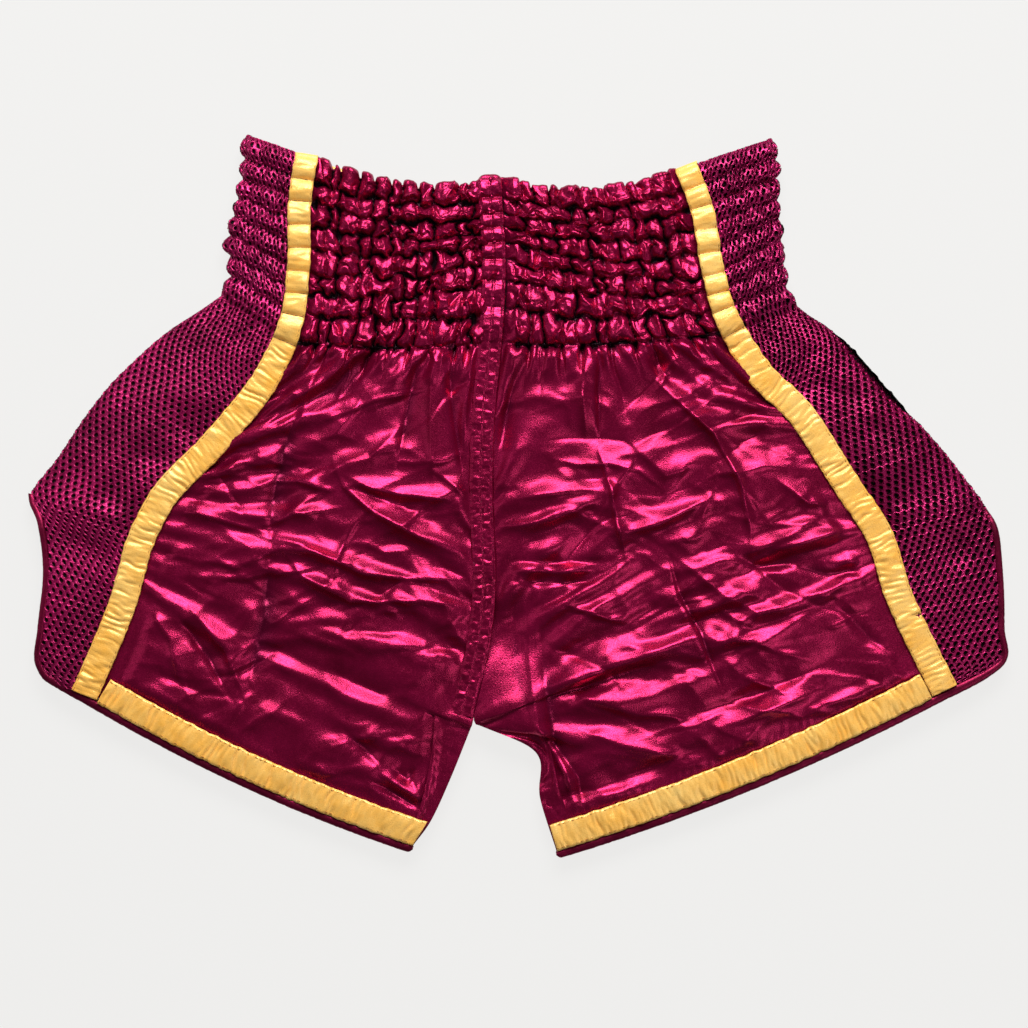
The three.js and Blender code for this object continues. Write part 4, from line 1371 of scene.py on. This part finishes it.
def mesh_lining(half, panel, material):
    """The black lining, 1.25 mm behind the mesh on both faces."""
    rows, columns, behind = 150, 40, 1.25
    surfaces, flats, faces = [], [], []
    v = np.linspace(-ROLL * LANE_LENGTH * 0.5, panel.length - 3, rows)[:, None]
    for n, face in enumerate(("front", "back")):
        u = np.linspace(0, 1, columns)[None] * panel.width_at(face, v)
        u = np.maximum(u, np.where(panel.row_of(v) > VENT_ROW, 3.0, 0.0))
        u, vv = np.broadcast_arrays(u, v)
        shown = pulled_in(half["sign"], panel.row_of(vv)) * np.exp(-((u / 2.8) ** 2))
        bulge = 5.8 * shown * (1 + 0.35 * noise(vv / 4.5, u / 5, 500 + n))
        surfaces.append(panel.place(face, u, vv, bulge - behind).reshape(-1, 3))
        flats.append(paired(u * (1 - 2 * n), vv).reshape(-1, 2))
        flip = (half["sign"] > 0) != (face == "front")
        faces.append(grid_faces(rows, columns, flip) + n * rows * columns)
    points = np.concatenate(surfaces)
    points[:, 2] = np.maximum(points[:, 2], 0.5)
    return make_piece(f"{half['name']}_black_lining", points, np.concatenate(faces), material,
                      [f"{half['name']}_mesh_lining"], np.concatenate(flats))


# ---------------------------------------------------------------- binding, gusset, facing

TUBE_TURN = np.arange(10) / 10 * math.tau        # angles of the points round the binding


def tube(path, normals, half_width, half_height):
    """Points of a flat tube along a path, with its own sideways directions."""
    return (path[:, None] + normals[:, None] * (np.cos(TUBE_TURN) * half_width)[..., None]
            + [0, 0, 1.0] * (np.sin(TUBE_TURN) * half_height)[..., None])


def tube_faces(rows):
    index = np.arange(rows * len(TUBE_TURN)).reshape(rows, -1)
    after = np.roll(index, -1, axis=1)
    return np.stack([index[:-1], after[:-1], after[1:], index[1:]], axis=-1).reshape(-1, 4)


def opening_path(half, face):
    """The middle of the binding from the vent's top down the vent, along the hem, to the inseam."""
    sign = half["sign"]
    rows = np.linspace(VENT_ROW - 0.12, HEM_ROW, 120)
    hem = hem_line(half, face)(np.linspace(0, 1, 160)) - [0, BINDING_DROP]
    plan = np.concatenate([half["side_line"](rows), hem])
    rows = np.concatenate([rows, np.full(len(hem), HEM_ROW)])
    length = length_along(plan)
    even = np.arange(0, length[-1], 1.1)
    plan = paired(np.interp(even, length, plan[:, 0]), np.interp(even, length, plan[:, 1]))
    rows = np.interp(even, length, rows)
    for _ in range(4):
        plan[1:-1] = (plan[:-2] + 2 * plan[1:-1] + plan[2:]) / 4
    way = unit(np.gradient(plan, axis=0))
    inward = paired(-way[:, 1], way[:, 0]) * -sign
    flap = 1.3 * np.exp(-even / 4.0) if sign < 0 and face == "front" else 0 * even
    plan = plan + inward * (1.5 - flap)[:, None]
    stripe = half[face + "_stripe_line"](rows)
    reach = np.abs(half["side_line"](rows)[:, 0] - stripe[:, 0])
    share = np.clip((np.abs(plan[:, 0]) - np.abs(stripe[:, 0])) / (reach + vent_spread(rows)), 0, 1)
    fall = np.sqrt(1 - share**2)
    fold = fold_height(plan[:, 1])
    if face == "front":
        z = fold + (front_height(plan[:, 1]) - fold) * fall
    else:
        z = np.maximum(fold - (fold - BACK_HEIGHT - 0.5) * fall, 1.45)
    return raised(plan, z), inward, even


def bindings(materials):
    """The rolled edges of the vents and the hems, slimmer down the vents and rounded at the inseams."""
    pieces = {}
    for half, face in QUARTERS:
        name = f"{face}_{half['name']}"
        path, inward, along_edge = opening_path(half, face)
        seed = 200 + len(pieces)
        path[:, 2] += 0.5 * noise(along_edge / 14, 0, seed)
        along_edge = along_edge[:, None]
        pucker = 0.20 * noise(along_edge / 1.9 + 0.8 * np.cos(TUBE_TURN), TUBE_TURN, seed + 9)
        to_end = along_edge[-1] - along_edge
        tip = np.sqrt(np.clip(1 - np.clip(1 - to_end / 3.2, 0, 1) ** 2, 0.02, 1))
        girth = (0.75 + 0.25 * smooth(along_edge, 90, 120)) * tip
        points = tube(path, raised(inward, 0), (BINDING_HALF_WIDTH + pucker) * girth,
                      BINDING_HALF_HEIGHT + pucker)
        pieces[face, half["name"]] = make_piece(
            f"{name}_bias_binding", points, tube_faces(len(path)), materials["binding"],
            [f"{name}_binding"], paired(TUBE_TURN * 1.6, along_edge))
    return pieces


def gussets(materials):
    """The strips folded round the inseams, from the front over the edge to the back."""
    pieces = {}
    flat_part = 0.38                     # of the strip's width on each face
    for half in (RIGHT, LEFT):
        name = half["name"]
        first = 16.5 if half["sign"] < 0 else 17.2
        rows = np.linspace(first, HEM_ROW - 0.5, 84)[:, None]
        inner, edge = half["gusset_line"](rows), half["inseam_line"](rows)
        length = np.linalg.norm(edge - inner, axis=-1)
        u = np.linspace(0, 1, 60)[None]
        angle = math.pi * np.clip((u - flat_part) / (1 - 2 * flat_part), 0, 1)
        start = np.maximum(0, 1 - 4.2 / length)
        share = np.where(u < flat_part, start * u / flat_part,
                         np.where(u > 1 - flat_part, start * (1 - u) / flat_part,
                                  start + (1 - start) * np.sin(angle)))
        plan = inner * (1 - share[..., None]) + edge * share[..., None]
        top = front_height(plan[..., 1]) + 1.8 - 3.4 * share
        ripple = (1.1 * noise(rows * 2.2 + u, u * 4, 410 + half["sign"])
                  + 0.3 * noise(rows * 7, u * 8, 420 + half["sign"]))
        ends = smooth(u, 0, 0.06) * smooth(1 - u, 0, 0.06)
        middle = (top + 0.6) / 2
        z = middle + (top - middle + ripple * ends * np.where(u < 0.5, 1, 0.2)) * np.cos(angle)
        z = np.where(u > 0.5, np.maximum(z, 0.5), z)
        pieces[name] = make_piece(
            f"{name}_gusset_strip", raised(plan, z), grid_faces(*z.shape, flip=half["sign"] > 0),
            materials["seam"], [f"{name}_inseam_gusset"], paired(u * 36, rows * 22))
    return pieces


def facings(materials):
    """The turned-in satin behind the elastics, gathered in small upright pleats."""
    pieces = {}
    for face in ("front", "back"):
        front = face == "front"
        rows = np.linspace(0.7, LANES + 0.25, 100)
        right, left = RIGHT["side_line"](rows), LEFT["side_line"](rows)
        centre = centre_line(np.minimum(rows, LANES))
        share = np.linspace(-1, 1, 300)[None, :, None]
        towards = np.where(share < 0, right[:, None], left[:, None])
        plan = centre[:, None] * (1 - np.abs(share) * 0.92) + towards * np.abs(share) * 0.92
        plan[..., 1] -= 6.0 * np.sin(np.pi * np.abs(share[..., 0]))
        near_side = smooth(np.abs(share[..., 0]), 0.55, 1.0)
        base = front_height(plan[..., 1]) - 5.2 - 5.0 * near_side if front else 6.2 + 0.4 * near_side
        x, row = plan[..., 0], rows[:, None]
        pleat = noise(x / 5.0 + 0.5 * noise(x / 11, row * 0.5, 3), np.floor(row) * 0.4, 500)
        depth = 1.1 * pleat + 0.9 * lane_wave(row) + 0.9
        points = raised(plan, base - depth if front else base + depth)
        pieces[face] = make_piece(
            f"{face}_turned_facing", points, grid_faces(*x.shape, flip=front), materials["seam"],
            [f"{face}_waistband_facing"], paired(x * 1.25, row * LANE_LENGTH))
    return pieces


# ---------------------------------------------------------------- assembly

def measured_origin():
    """The shift from the garment's own lines to the frame, from the top of the centre front seam."""
    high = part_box("centre_front_seam")[1]
    over_line = 1.4                      # how far the turned seam stands above its line
    return np.array([0.0, high[1] / MM - centre_line(0.0)[1] - over_line, 0.0])


ORIGIN = measured_origin()


def build():
    materials = make_materials()
    stage_and_camera()
    satin = {}
    for half in (RIGHT, LEFT):
        for face in ("front", "back"):
            satin[face, half["name"]] = satin_panel(half, face, materials)
        air_mesh, panel = mesh_lattice(half, materials["mesh"])
        lining = mesh_lining(half, panel, materials["lining"])
    stitches = {"ribbon": Stitches(), "seam": Stitches()}
    stripe, hem = stripes(materials, stitches), hem_ribbons(materials, stitches)
    centre = centre_bands(materials, stitches)
    ribbon_stitches = stitches["ribbon"].finish("ribbon_edge_stitches", "ribbon", materials["gold_thread"])
    seam_stitches = stitches["seam"].finish("seam_and_lane_stitches", "binding", materials["thread"])
    binding, gusset, facing = bindings(materials), gussets(materials), facings(materials)
    for (face, side), panel in satin.items():
        trims = [stripe[face, side], hem[face, side], binding[face, side]]
        if side == "right":
            trims.append(centre[face])
            if face == "front":
                trims += [ribbon_stitches, seam_stitches]
    for lane in range(1, LANES + 1):
        node = bpy.data.objects[f"waist_elastic_{lane}"]
        node.data.materials.clear()
        node.data.materials.append(materials["elastic"])


build()
